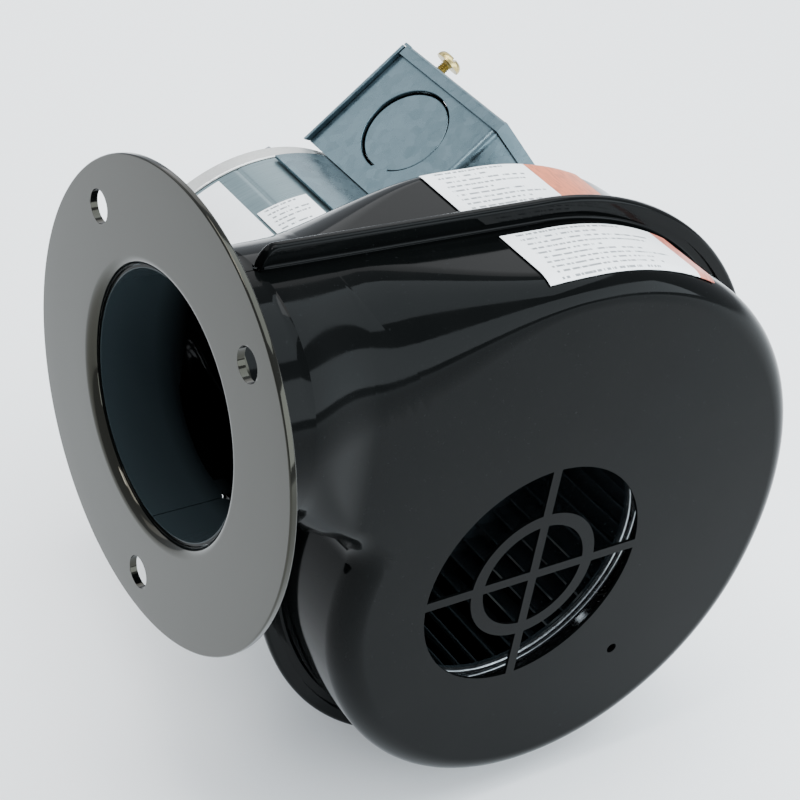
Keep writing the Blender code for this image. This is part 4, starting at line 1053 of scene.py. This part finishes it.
def shell_film(name, degrees, ys, material, node_name):
    points = []
    for i in range(33):
        angle = math.radians(degrees[1] + (degrees[0] - degrees[1]) * i / 32)
        row = []
        for j in range(9):
            y = ys[1] + (ys[0] - ys[1]) * j / 8
            cell = []
            for reach in (SHELL_R + GAP + LABEL_SHEET, SHELL_R + GAP):
                x, z = polar(reach, angle)
                cell.append((AXIS_X + x, y, AXIS_Z + z))
            row.append((*cell, SHELL_R * math.radians(degrees[1] - degrees[0]) * i / 32, ys[1] - y))
        points.append(row)
    film(name, points, material, node_name)


front_length = 1000 * CROWN_R * math.radians(FRONT_LABEL[0][1] - FRONT_LABEL[0][0])
rear_length = 1000 * CROWN_R * math.radians(REAR_LABEL[0][1] - REAR_LABEL[0][0])
FRONT_FILM = label_film("front_label_film", 2.3, front_length * 0.86, 4.5, (front_length - 7, 99, "#cf7a68"))
REAR_FILM = label_film("rear_label_film", 2.3, rear_length * 0.62, 4.0, (rear_length * 0.62, 99, "#c9683c"))
MOTOR_FILM = label_film("motor_label_film", 2.1, 17.0, 2.0, (900, 999, "#c9683c"))
wall_film("front_scroll_label", FRONT, FRONT_LABEL, FRONT_FILM, "front_half_label")
wall_film("rear_scroll_label", REAR, REAR_LABEL, REAR_FILM, "rear_half_label")
shell_film("motor_rating_film", (93.2, 112.8), (0.0600, 0.1005), MOTOR_FILM, "motor_rating_label")
shell_film("motor_wiring_film", (114, 160), (0.0600, 0.1225), MOTOR_FILM, "motor_wiring_label")

# %% [markdown]
# ## The wheel
#
# A squirrel-cage wheel is one blade repeated: each is a narrow strip of steel, curved forwards, and all
# stand round a circle between two rims. Geometry Nodes fit that exactly. One blade is drawn, and a tree
# sets copies of it round the shaft. Its inputs are the number of copies, the centre and the finish.

# %% A tree that repeats a shape round the shaft
def round_the_shaft():
    tree = bpy.data.node_groups.new("round_the_shaft", "GeometryNodeTree")
    face = tree.interface
    face.new_socket("Shape", in_out="INPUT", socket_type="NodeSocketGeometry")
    face.new_socket("Copies", in_out="INPUT", socket_type="NodeSocketInt")
    face.new_socket("Start angle", in_out="INPUT", socket_type="NodeSocketFloat")
    face.new_socket("Centre", in_out="INPUT", socket_type="NodeSocketVector")
    face.new_socket("Finish", in_out="INPUT", socket_type="NodeSocketMaterial")
    face.new_socket("Ring", in_out="OUTPUT", socket_type="NodeSocketGeometry")
    given = tree.nodes.new("NodeGroupInput")
    points = node(tree, "GeometryNodePoints", {
        "Count": given.outputs["Copies"], "Position": given.outputs["Centre"],
    })
    step = node(tree, "ShaderNodeMath", {0: TAU, 1: given.outputs["Copies"]}, operation="DIVIDE")
    number = node(tree, "GeometryNodeInputIndex")
    angle = node(tree, "ShaderNodeMath", {
        0: number.outputs[0], 1: step.outputs[0], 2: given.outputs["Start angle"],
    }, operation="MULTIPLY_ADD")
    back = node(tree, "ShaderNodeMath", {0: angle.outputs[0], 1: -1.0}, operation="MULTIPLY")
    turned = node(tree, "ShaderNodeCombineXYZ", {1: back.outputs[0]})
    copies = node(tree, "GeometryNodeInstanceOnPoints", {
        "Points": points.outputs[0], "Instance": given.outputs["Shape"], "Rotation": turned.outputs[0],
    })
    real = node(tree, "GeometryNodeRealizeInstances", {0: copies.outputs[0]})
    painted = node(tree, "GeometryNodeSetMaterial", {
        "Geometry": real.outputs[0], "Material": given.outputs["Finish"],
    })
    result = tree.nodes.new("NodeGroupOutput")
    tree.links.new(painted.outputs[0], result.inputs[0])
    return tree


RING_TREE = round_the_shaft()


def ring_of(thing, copies, start, material):
    """Repeats a shape drawn about the origin round the shaft, as one plain mesh."""
    modifier = thing.modifiers.new("ring", "NODES")
    modifier.node_group = RING_TREE
    values = {"Copies": copies, "Start angle": start, "Centre": (AXIS_X, 0, AXIS_Z), "Finish": material}
    for item in RING_TREE.interface.items_tree:
        if item.in_out == "INPUT" and item.name in values:
            modifier[item.identifier] = values[item.name]
    return settle(thing)


print("tree nodes:", len(RING_TREE.nodes))

# %% Blades, rims, back plate and end ring
def blade_outline():
    """A forward-curved blade's section: an arc from the wheel's bore to its rim."""
    steps, inset = 8, 0.0006
    points = []
    for side in (1, -1):
        for i in range(steps + 1)[::side]:
            share = i / steps
            radius = WHEEL_BORE_R + inset + (WHEEL_R - WHEEL_BORE_R - 2 * inset) * share
            points.append(polar(radius, BLADE_LEAN * share * share + side * BLADE_SHEET / 2 / radius))
    return points


one_blade = bmesh.new()
prism(one_blade, blade_outline(), WHEEL_FRONT + WHEEL_SHEET / 2, WHEEL_BACK - WHEEL_SHEET / 2)
blades = ring_of(thing_from("wheel_blades", one_blade), BLADES, math.pi / BLADES, WHEEL_ENAMEL)
rims = bmesh.new()
for start in (WHEEL_FRONT, WHEEL_BACK - WHEEL_SHEET):
    end = start + WHEEL_SHEET
    add_spun(rims, [(WHEEL_BORE_R, start), (WHEEL_R, start), (WHEEL_R, end), (WHEEL_BORE_R, end)], 160)
cut(blades, thing_from("rim_tool", rims, SHAFT_PLACE), "UNION")
done(blades, WHEEL_ENAMEL, "rotor", "black_enamel", "wheel_blade_strip")

inner, outer, turn_over, edge = WHEEL_R + GAP, WHEEL_R + GAP + WHEEL_SHEET, 0.004, 0.0006
plate = WHEEL_BACK + GAP + WHEEL_SHEET
profile = [(HUB_R + CLEARANCE, WHEEL_BACK + GAP), (inner, WHEEL_BACK + GAP), (inner, WHEEL_BACK - turn_over)]
profile += [(outer, WHEEL_BACK - turn_over)] + arc((outer - edge, plate - edge), edge, 0, 90, 4)
profile += [(0.034, plate), (0.030, plate), (HUB_R + CLEARANCE, plate)]
back_plate = thing_from("wheel_back_disc", spin(profile, 160), SHAFT_PLACE)
done(back_plate, WHEEL_ENAMEL, "rotor", "black_enamel", "wheel_back_plate")

front = WHEEL_FRONT - GAP - WHEEL_SHEET
bead = 0.0009
profile = [(inner, WHEEL_FRONT - GAP), (WHEEL_BORE_R, WHEEL_FRONT - GAP)]
for rim_r in (WHEEL_BORE_R + bead, WHEEL_BORE_R + 4 * bead):
    profile += arc((rim_r, front + bead * 0.2), bead, 180, 360, 10)
profile += arc((outer - edge, front + edge), edge, 270, 360, 4)
profile += [(outer, WHEEL_FRONT + turn_over), (inner, WHEEL_FRONT + turn_over)]
end_ring = thing_from("wheel_front_ring", spin(profile, 160), SHAFT_PLACE)
done(end_ring, WHEEL_EDGE, "rotor", "black_enamel", "wheel_end_ring")

# %% [markdown]
# ## The motor
#
# The shell is rolled from sheet and closed along one seam. The rear shield is a casting with eight vents
# round its bearing boss, and four long bolts clamp shield, stator and housing together.

# %% Shell with its rolled seam
def shell_radius(angle, base):
    """The outer radius, with a shallow groove along the seam and a faint step beside it."""
    away = (math.degrees(angle) - SEAM_DEGREES + 180) % 360 - 180
    groove = 0.00035 * math.exp(-(away / 0.55) ** 2)
    step = 0.00012 * ease((away + 0.6) / 1.2) * (1 - ease((away - 6) / 4))
    return base - groove - step


tube = bmesh.new()
columns = []
count = 720
for i in range(count):
    angle = TAU * i / count
    outer = shell_radius(angle, SHELL_R)
    section = [(SHELL_BORE_R, SHELL_FRONT), (outer - 0.0003, SHELL_FRONT), (outer, SHELL_FRONT + 0.0003)]
    section += [(outer, SHELL_BACK - 0.0003), (outer - 0.0003, SHELL_BACK), (SHELL_BORE_R, SHELL_BACK)]
    columns.append([tube.verts.new((*polar(r, angle), y)).index for r, y in section])
tube.verts.ensure_lookup_table()
for i in range(count):
    one, two = i * 6, ((i + 1) % count) * 6
    for k in range(6):
        after = (k + 1) % 6
        tube.faces.new([tube.verts[n] for n in (one + k, one + after, two + after, two + k)])
upright = SHAFT_PLACE @ Matrix(((1, 0, 0, 0), (0, 0, 1, 0), (0, 1, 0, 0), (0, 0, 0, 1)))
shell = thing_from("motor_can", tube, upright)
cut(shell, drill("lead_tool", (0.040, LEAD_HOLE_Y, 0), (0.060, LEAD_HOLE_Y, 0), LEAD_HOLE_R, 32))
done(shell, SHELL_PAINT, "housing", "motor_paint", "motor_shell")

# %% Rear shield with vents
spigot_r, spigot_sheet, boss_r = SHELL_BORE_R - GAP, 0.0015, BEARING_R + GAP
seat, inside = SHELL_BACK + GAP, MOTOR_END - 0.002
lip = SHELL_R + 0.0003
profile = [(spigot_r, seat - 0.0056), (spigot_r, seat), (SHELL_R - 0.0001, seat)]
profile += arc((lip - 0.0006, seat + 0.0006), 0.0006, -60, 0, 3)
profile += arc((lip - 0.0014, MOTOR_END - 0.0014), 0.0014, 0, 90, 6)
profile += [(0.0440, MOTOR_END), (0.0210, MOTOR_END)] + arc((0.0195, MOTOR_END + 0.0010), 0.0010, 270, 180, 4)
profile += arc((0.0175, MOTOR_END + 0.0010), 0.0010, 0, 90, 4)
profile += [(0.0100, MOTOR_END + BOSS_RISE), (0, MOTOR_END + BOSS_RISE)]
profile += [(0, MOTOR_END - 0.0008), (boss_r, MOTOR_END - 0.0008), (boss_r, 0.1120), (0.0115, 0.1120)]
profile += [(0.0130, inside), (0.0470, inside), (spigot_r - spigot_sheet, seat - 0.0056)]
rear_shield = thing_from("motor_rear_casting", spin(profile, 128), SHAFT_PLACE)
one_vent = bmesh.new()
outline = []
for radius, order in ((VENT_REACH[0], 1), (VENT_REACH[1], -1)):
    outline += [polar(radius, step * 0.14 * order / 4) for step in range(-4, 5)]
prism(one_vent, outline, MOTOR_END - 0.006, MOTOR_END + 0.004)
first_bolt = math.radians(BOLT_ANGLES[0])
vents = ring_of(thing_from("vent_tool", one_vent), VENTS, first_bolt + TAU / VENTS / 2, CAST_ALUMINIUM)
cut(rear_shield, vents)
one_hole = bmesh.new()
rod(one_hole, (BOLTS_AT, 0.028, 0), (BOLTS_AT, 0.140, 0), BOLT_R + CLEARANCE, 24)
holes = ring_of(thing_from("bolt_hole_tool", one_hole), 4, first_bolt, CAST_ALUMINIUM)
cut(rear_shield, holes)
soften(rear_shield, 0.00035, where=lambda co: abs(co.y - MOTOR_END) < 1e-4)
done(rear_shield, CAST_ALUMINIUM, "housing", "aluminium", "motor_rear_shield")

# %% Through bolts and their nuts
head = MOTOR_END + GAP
nut = REAR_DEPTH - SHEET - GAP
bolt = bmesh.new()
shank = [(0, nut - 0.004), (BOLT_R * 0.8, nut - 0.004)]
for i in range(14):
    start = nut - 0.0038 + THREAD_PITCH * i
    shank += [(BOLT_R * 0.82, start), (BOLT_R, start + THREAD_PITCH / 2)]
shank += [(BOLT_R, head), (0, head)]
add_spun(bolt, shank, 20)
prism(bolt, [polar(2 * BOLT_R, TAU * i / 6) for i in range(6)], head, head + 0.0025)
bmesh.ops.translate(bolt, verts=bolt.verts, vec=(BOLTS_AT, 0, 0))
bolt_shape = thing_from("through_bolts", bolt)
soften(bolt_shape, 0.00025, over=50, where=lambda co: co.y > head - 1e-4)
bolts = ring_of(bolt_shape, 4, first_bolt, ZINC_PLATE)
done(bolts, ZINC_PLATE, "housing", "steel", *["through_bolt_%d" % i for i in (1, 2, 3, 4)])

one_nut = bmesh.new()
outer_points = [polar(0.0044, TAU * i / 6) for i in range(6)]
prism(one_nut, outer_points, nut - 0.003, nut)
nut_shape = thing_from("through_bolt_nuts", one_nut)
soften(nut_shape, 0.0003, over=50)
nut_hole = bmesh.new()
rod(nut_hole, (0, nut - 0.01, 0), (0, nut + 0.01, 0), 0.0028, 20)
cut(nut_shape, thing_from("nut_tool", nut_hole))
nut_shape.data.transform(Matrix.Translation((BOLTS_AT, 0, 0)))
nuts = ring_of(nut_shape, 4, first_bolt, ZINC_PLATE)
done(nuts, ZINC_PLATE, "housing", "steel", *["through_bolt_nut_%d" % i for i in (1, 2, 3, 4)])

# %% [markdown]
# The end of a stator winding is a ring of overlapping coils, laced together. One coil's end is an arch of
# wire bundle that leans as it goes round. The tree lays twelve of them round the shaft at each end of the
# stack.

# %% Winding ends
def winding(name, start, way, node_name):
    arch = bmesh.new()
    rings = []
    steps, sides = 18, 10
    for i in range(steps + 1):
        share = i / steps
        across = math.radians(-24 + 48 * share)
        reach = 0.0325 + 0.0058 * ease(share)
        out = start + way * (0.0026 + 0.0062 * math.sin(math.pi * share) ** 0.7)
        middle = Vector((reach * math.cos(across), out, reach * math.sin(across)))
        ring = []
        for k in range(sides):
            spoke = TAU * k / sides
            radial = Vector((math.cos(across), 0, math.sin(across))) * (0.0027 * math.cos(spoke))
            ring.append(arch.verts.new(middle + radial + Vector((0, 0.0021 * math.sin(spoke), 0))))
        rings.append(ring)
    for one, two in zip(rings, rings[1:]):
        for k in range(sides):
            arch.faces.new((one[k - 1], one[k], two[k], two[k - 1]))
    arch.faces.new(rings[0])
    arch.faces.new(rings[-1])
    coils = ring_of(thing_from(name, arch), 12, 0.1, COPPER_WIRE)
    done(coils, COPPER_WIRE, "housing", "copper", node_name, sharp=60)


winding("winding_end_front", CORE[0] - GAP, -1, "winding_front")
winding("winding_end_rear", CORE[1] + GAP, 1, "winding_rear")

# %% [markdown]
# ## The wiring box
#
# A box folded from galvanised sheet stands on a saddle on the motor's shell. Three walls are one bent
# strip, the fourth is a separate end plate, and a lid with turned-down lips closes it. A disc in one wall
# is cut round, all but one tie, so that it can be struck out for a cable fitting. A bend's round is what
# separates a folded box from a block, so every bend is drawn as an arc.

# %% Box walls with the knock-out
wall_end = BOX_BACK - BOX_SHEET - GAP
outer, inner = [(wall_end, -BOX_HALF)], [(wall_end, -BOX_HALF + BOX_SHEET)]
for side, start in ((-1, 270), (1, 180)):
    centre = (BOX_FRONT + BOX_BEND, side * (BOX_HALF - BOX_BEND))
    outer += arc(centre, BOX_BEND, start, start - 90, 8)
    inner += arc(centre, BOX_BEND - BOX_SHEET, start, start - 90, 8)
outer.append((wall_end, BOX_HALF))
inner.append((wall_end, BOX_HALF - BOX_SHEET))
walls = bmesh.new()
prism(walls, outer + inner[::-1], BOX_BOTTOM, BOX_TOP - GAP, "X")
box = thing_from("wiring_box_walls", walls, BOX_PLACE)


MOTOR_ROUND = ((0, 0.05, 0), (0, 0.15, 0), SADDLE[1] + GAP, 200)     # the motor's round, cut out of the box
cut(box, drill("box_round", *MOTOR_ROUND))
tie_at, tie = (math.radians(degrees) for degrees in KNOCKOUT_TIE)
outline = []
for reach, order in ((KNOCKOUT_R + KNOCKOUT_GAP / 2, 1), (KNOCKOUT_R - KNOCKOUT_GAP / 2, -1)):
    for i in range(97)[::order]:
        across, along = polar(reach, tie_at + tie / 2 + (TAU - tie) * i / 96)
        outline.append((KNOCKOUT_AT[0] + across, KNOCKOUT_AT[1] + along))
tool = bmesh.new()
prism(tool, outline, BOX_HALF - 0.003, BOX_HALF + 0.002, "Z")
cut(box, thing_from("knockout_tool", tool, BOX_PLACE))
out, along = GROUND_SCREW_AT
cut(box, drill("ground_tool", (out, along, -BOX_HALF - 0.005), (out, along, -BOX_HALF + 0.005),
               GROUND_HOLE_R, 24))
to_box = BOX_PLACE.inverted()


def near_knockout(co):
    here = to_box @ co
    return here.z > BOX_HALF - 1e-4 and math.dist((here.x, here.y), KNOCKOUT_AT) < KNOCKOUT_R + 0.001


soften(box, 0.0004, where=near_knockout)
disc_r = KNOCKOUT_R - KNOCKOUT_GAP / 2 + 1e-4
press_in = BOX_PLACE.to_3x3() @ Vector((0, 0, -0.0009))
for vert in box.data.vertices:
    here = to_box @ vert.co
    if here.z > 0 and math.dist((here.x, here.y), KNOCKOUT_AT) < disc_r:
        vert.co += press_in
done(box, GALVANISED, "housing", "zinc", "wiring_box")

# %% End plate, lid and saddle
side = BOX_HALF + 0.0018
plate = bmesh.new()
prism(plate, [(BOX_BOTTOM, -side), (BOX_TOP - GAP, -side), (BOX_TOP - GAP, side), (BOX_BOTTOM, side)],
      BOX_BACK - BOX_SHEET, BOX_BACK)
end_plate = thing_from("wiring_box_end", plate, BOX_PLACE)
cut(end_plate, drill("end_round", *MOTOR_ROUND))


def block(low, high):
    bm = bmesh.new()
    prism(bm, [(low[0], low[2]), (high[0], low[2]), (high[0], high[2]), (low[0], high[2])], low[1], high[1])
    return thing_from("block", bm, BOX_PLACE)


screw_y, screw_z = COVER_SCREW_AT
cut(end_plate, block((BOX_TOP - GAP - BOX_SHEET, screw_y - 0.005, screw_z - 0.006),
                     (BOX_TOP - GAP, BOX_BACK - BOX_SHEET / 2, screw_z + 0.006)), "UNION")


SCREW_HOLE = ((BOX_TOP - 0.01, screw_y, screw_z), (BOX_TOP + 0.01, screw_y, screw_z), COVER_HOLE_R, 24)
cut(end_plate, drill("screw_tool", *SCREW_HOLE))
soften(end_plate, 0.00025)
done(end_plate, GALVANISED, "housing", "zinc", "box_end_plate")

top, rim = BOX_TOP + COVER_SHEET, BOX_TOP - COVER_LIP
near, half = BOX_FRONT - 0.0013, BOX_HALF + 0.0013
lid_inside = half - COVER_SHEET
bend = 0.0012
profile = arc((top - bend, -half + bend), bend, -90, 0, 5) + arc((top - bend, half - bend), bend, 0, 90, 5)
profile += [(rim, half), (rim, lid_inside), (BOX_TOP, lid_inside), (BOX_TOP, -lid_inside), (rim, -lid_inside),
            (rim, -half)]
lid_mesh = bmesh.new()
prism(lid_mesh, profile, near, BOX_BACK - BOX_SHEET - GAP)
lid = thing_from("wiring_box_lid", lid_mesh, BOX_PLACE)
cut(lid, block((rim, near, -half + 0.0006), (top, near + COVER_SHEET, half - 0.0006)), "UNION")
cut(lid, block((BOX_TOP, BOX_BACK - 0.003, -half), (top, BOX_BACK, half)), "UNION")
cut(lid, drill("screw_tool", *SCREW_HOLE))
soften(lid, 0.0003, over=60)
done(lid, GALVANISED, "housing", "zinc", "box_cover")

outline = []
for radius, order in ((SADDLE[0], 1), (SADDLE[1], -1)):
    for i in range(61)[::order]:
        outline.append(polar(radius, SADDLE_HALF_ANGLE * (i / 30 - 1)))
strap = bmesh.new()
prism(strap, outline, *SADDLE_ENDS)
saddle = thing_from("box_strap", strap, BOX_PLACE)
cut(saddle, drill("strap_tool", (0.045, LEAD_HOLE_Y, 0), (0.060, LEAD_HOLE_Y, 0), LEAD_HOLE_R, 32))
soften(saddle, 0.0002)
done(saddle, GALVANISED, "housing", "zinc", "box_saddle")

# %% [markdown]
# The lid's screw is a slotted pan head in yellow zinc, not driven home. A thread is a row of grooves, 0.7
# mm apart here, cut into the shank's profile, and the slot is one cut across the head.

# %% Screws
def screw(name, place, way, shank, head_r, head_height, material, slot_name, node_name):
    profile = [(0, -head_height)] + arc((head_r - head_height * 0.8, -head_height * 0.2), head_height * 0.8,
                                        270, 360, 6)
    profile += [(head_r, 0), (SCREW_R, 0)]
    along = 0.0004
    while along < shank - 0.0012:
        profile += [(SCREW_R, along), (SCREW_R * 0.78, along + THREAD_PITCH / 2)]
        along += THREAD_PITCH
    profile += [(SCREW_R * 0.9, shank - 0.0008), (SCREW_R * 0.5, shank), (0, shank)]
    turn = Vector((0, 1, 0)).rotation_difference(Vector(way)).to_matrix().to_4x4()
    where = BOX_PLACE @ Matrix.Translation(place) @ turn
    thing = thing_from(name, spin(profile, 40), where)
    groove = bmesh.new()
    prism(groove, [(-0.01, -0.0005), (0.01, -0.0005), (0.01, 0.0005), (-0.01, 0.0005)], -head_height - 0.001,
          -head_height * 0.5)
    cut(thing, thing_from("slot_tool", groove, where @ Matrix.Rotation(0.6, 4, "Y")))
    soften(thing, 0.0001, over=60, where=lambda co: (where.inverted() @ co).y < -head_height * 0.45)
    done(thing, material, "housing", slot_name, node_name)


screw("lid_screw", (BOX_TOP + COVER_SCREW_OUT, screw_y, screw_z), (-1, 0, 0), 0.0105, 0.0046, 0.0026,
      YELLOW_ZINC, "brass", "cover_screw")
out, along = GROUND_SCREW_AT
screw("earth_screw", (out, along, -BOX_HALF + BOX_SHEET + GAP), (0, 0, -1), 0.0045, 0.0036, 0.0018,
      GREEN_SCREW, "green_screw", "ground_screw")

# %% [markdown]
# ## The pieces that keep their CAD shape
#
# Shaft, hub, bearings, washers, cores, front shield, grommet, leads and switch have the right shape
# already. A copy of each is merged and gets its finish. All but the leads have their edges rounded by a
# fraction of a millimetre.

# %% Rounded copies
def rounded_copy(name, node_name, material, body, slot, width, over):
    bm = bmesh.new()
    bm.from_mesh(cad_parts[node_name].data)
    bmesh.ops.remove_doubles(bm, verts=bm.verts, dist=2e-6)
    bmesh.ops.dissolve_limit(bm, angle_limit=math.radians(0.5), verts=bm.verts, edges=bm.edges)
    mesh = bpy.data.meshes.new(name)
    bm.to_mesh(mesh)
    bm.free()
    thing = bpy.data.objects.new(name, mesh)
    bpy.context.scene.collection.objects.link(thing)
    if width:
        soften(thing, width, over)
    done(thing, material, body, slot, node_name)


COPIES = (
    ("drive_shaft", "motor_shaft", GROUND_STEEL, "rotor", "steel", 0.0004, 60),
    ("wheel_hub_boss", "wheel_hub", CAST_ALUMINIUM, "rotor", "aluminium", 0.0003, 60),
    ("hub_grub_screw", "hub_set_screw", ZINC_PLATE, "rotor", "steel", 0.00012, 60),
    ("rotor_stack", "rotor_core", LAMINATIONS, "rotor", "laminations", 0.0002, 60),
    ("rotor_ring_front", "rotor_end_ring_front", CAST_ALUMINIUM, "rotor", "aluminium", 0.0004, 50),
    ("rotor_ring_rear", "rotor_end_ring_rear", CAST_ALUMINIUM, "rotor", "aluminium", 0.0004, 50),
    ("washer_front", "thrust_washer_front", BRONZE, "rotor", "bronze", 0.00015, 60),
    ("washer_rear", "thrust_washer_rear", BRONZE, "rotor", "bronze", 0.00015, 60),
    ("motor_front_casting", "motor_front_shield", CAST_ALUMINIUM, "housing", "aluminium", 0.0003, 60),
    ("stator_stack", "stator_core", LAMINATIONS, "housing", "laminations", 0.0001, 60),
    ("sleeve_front", "bearing_front", BRONZE, "housing", "bronze", 0.0003, 60),
    ("sleeve_rear", "bearing_rear", BRONZE, "housing", "bronze", 0.0003, 60),
    ("overload_switch", "thermal_protector", PHENOLIC, "housing", "rubber", 0.0006, 60),
    ("grommet", "lead_grommet", RUBBER, "housing", "rubber", 0.0002, 50),
    ("black_lead", "lead_black", BLACK_PVC, "housing", "black_lead", 0.0, 60),
    ("white_lead", "lead_white", WHITE_PVC, "housing", "white_lead", 0.0, 60),
)
for name, node_name, material, body, slot, width, over in COPIES:
    rounded_copy(name, node_name, material, body, slot, width, over)
print("rounded copies:", len(COPIES))

# %% [markdown]
# ## Floor and light
#
# Black gloss shows nothing but its surroundings, so the surroundings are the finish. A wide pale floor
# gives the soft grey of the flange and of the inlet face. One soft light above gives the form. Two large
# cool softboxes, one overhead and one in front to the right, are what the neck and the top wall reflect.
# Two windows behind show in the motor's shell and in the wiring box, and one small window on the left gives
# a thin highlight on the outlet's lip.

# %% Floor
floor_z = cad_box[0].z - 0.0005
ground = bmesh.new()
bmesh.ops.create_grid(ground, x_segments=1, y_segments=1, size=6)
bmesh.ops.translate(ground, verts=ground.verts, vec=(0, 0, floor_z))
mesh = bpy.data.meshes.new("studio_floor")
ground.to_mesh(mesh)
ground.free()
floor = bpy.data.objects.new("studio_floor", mesh)
bpy.context.scene.collection.objects.link(floor)
FLOOR_PAINT, tree, shader = finish("matte_white_floor", metallic=0.0, roughness=0.9, specular_ior_level=0.1)
link(tree, mixed(tree, noise(tree, place_mm(tree), 1 / 400, 2), "#f7f8f8", "#fcfcfc"), shader, "Base Color")
mesh.materials.append(FLOOR_PAINT)
floor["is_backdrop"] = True
print("floor at", round(floor_z, 4))

# %% Lights
MIDDLE = (0.10, 0.03, -0.05)    # every light points here
COOL = (0.84, 0.94, 1.0)


def area(name, place, size, power, colour=(1, 1, 1)):
    light = bpy.data.lights.new(name, "AREA")
    light.shape = "RECTANGLE"
    light.size, light.size_y = size
    light.energy = power
    light.color = colour
    thing = bpy.data.objects.new(name, light)
    thing.matrix_world = (Matrix.Translation(place)
                          @ (Vector(MIDDLE) - Vector(place)).to_track_quat("-Z", "Y").to_matrix().to_4x4())
    bpy.context.scene.collection.objects.link(thing)


area("key_above", (0.02, 0.34, 2.00), (1.1, 1.1), 30)
area("window_behind", (1.15, 1.31, 1.07), (1.6, 1.1), 10)
area("window_behind_left", (-0.46, 1.43, 0.88), (1.4, 0.6), 4)
area("ceiling_softbox", (0.78, -0.26, 1.70), (1.5, 1.3), 38, COOL)
area("front_wall_softbox", (0.86, -1.52, 0.52), (2.6, 0.95), 58, COOL)
area("window_left", (-0.43, -0.04, 1.24), (0.34, 0.2), 5)
world = bpy.data.worlds.new("studio")
world.use_nodes = True
world.node_tree.nodes["Background"].inputs[0].default_value = linear("#ecf3fb")
world.node_tree.nodes["Background"].inputs[1].default_value = 1.15
bpy.context.scene.world = world

# %% [markdown]
# ## Check the size
#
# The look has to stay inside the CAD model's box, so how far it reaches past that box on each side is
# printed.

# %% Print how far the look reaches past the CAD box
visual_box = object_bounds()
for axis in range(3):
    past = [round(1000 * (visual_box[k][axis] - cad_box[k][axis]), 2) for k in (0, 1)]
    print("xyz"[axis], past, "mm beyond the CAD box, low and high side")
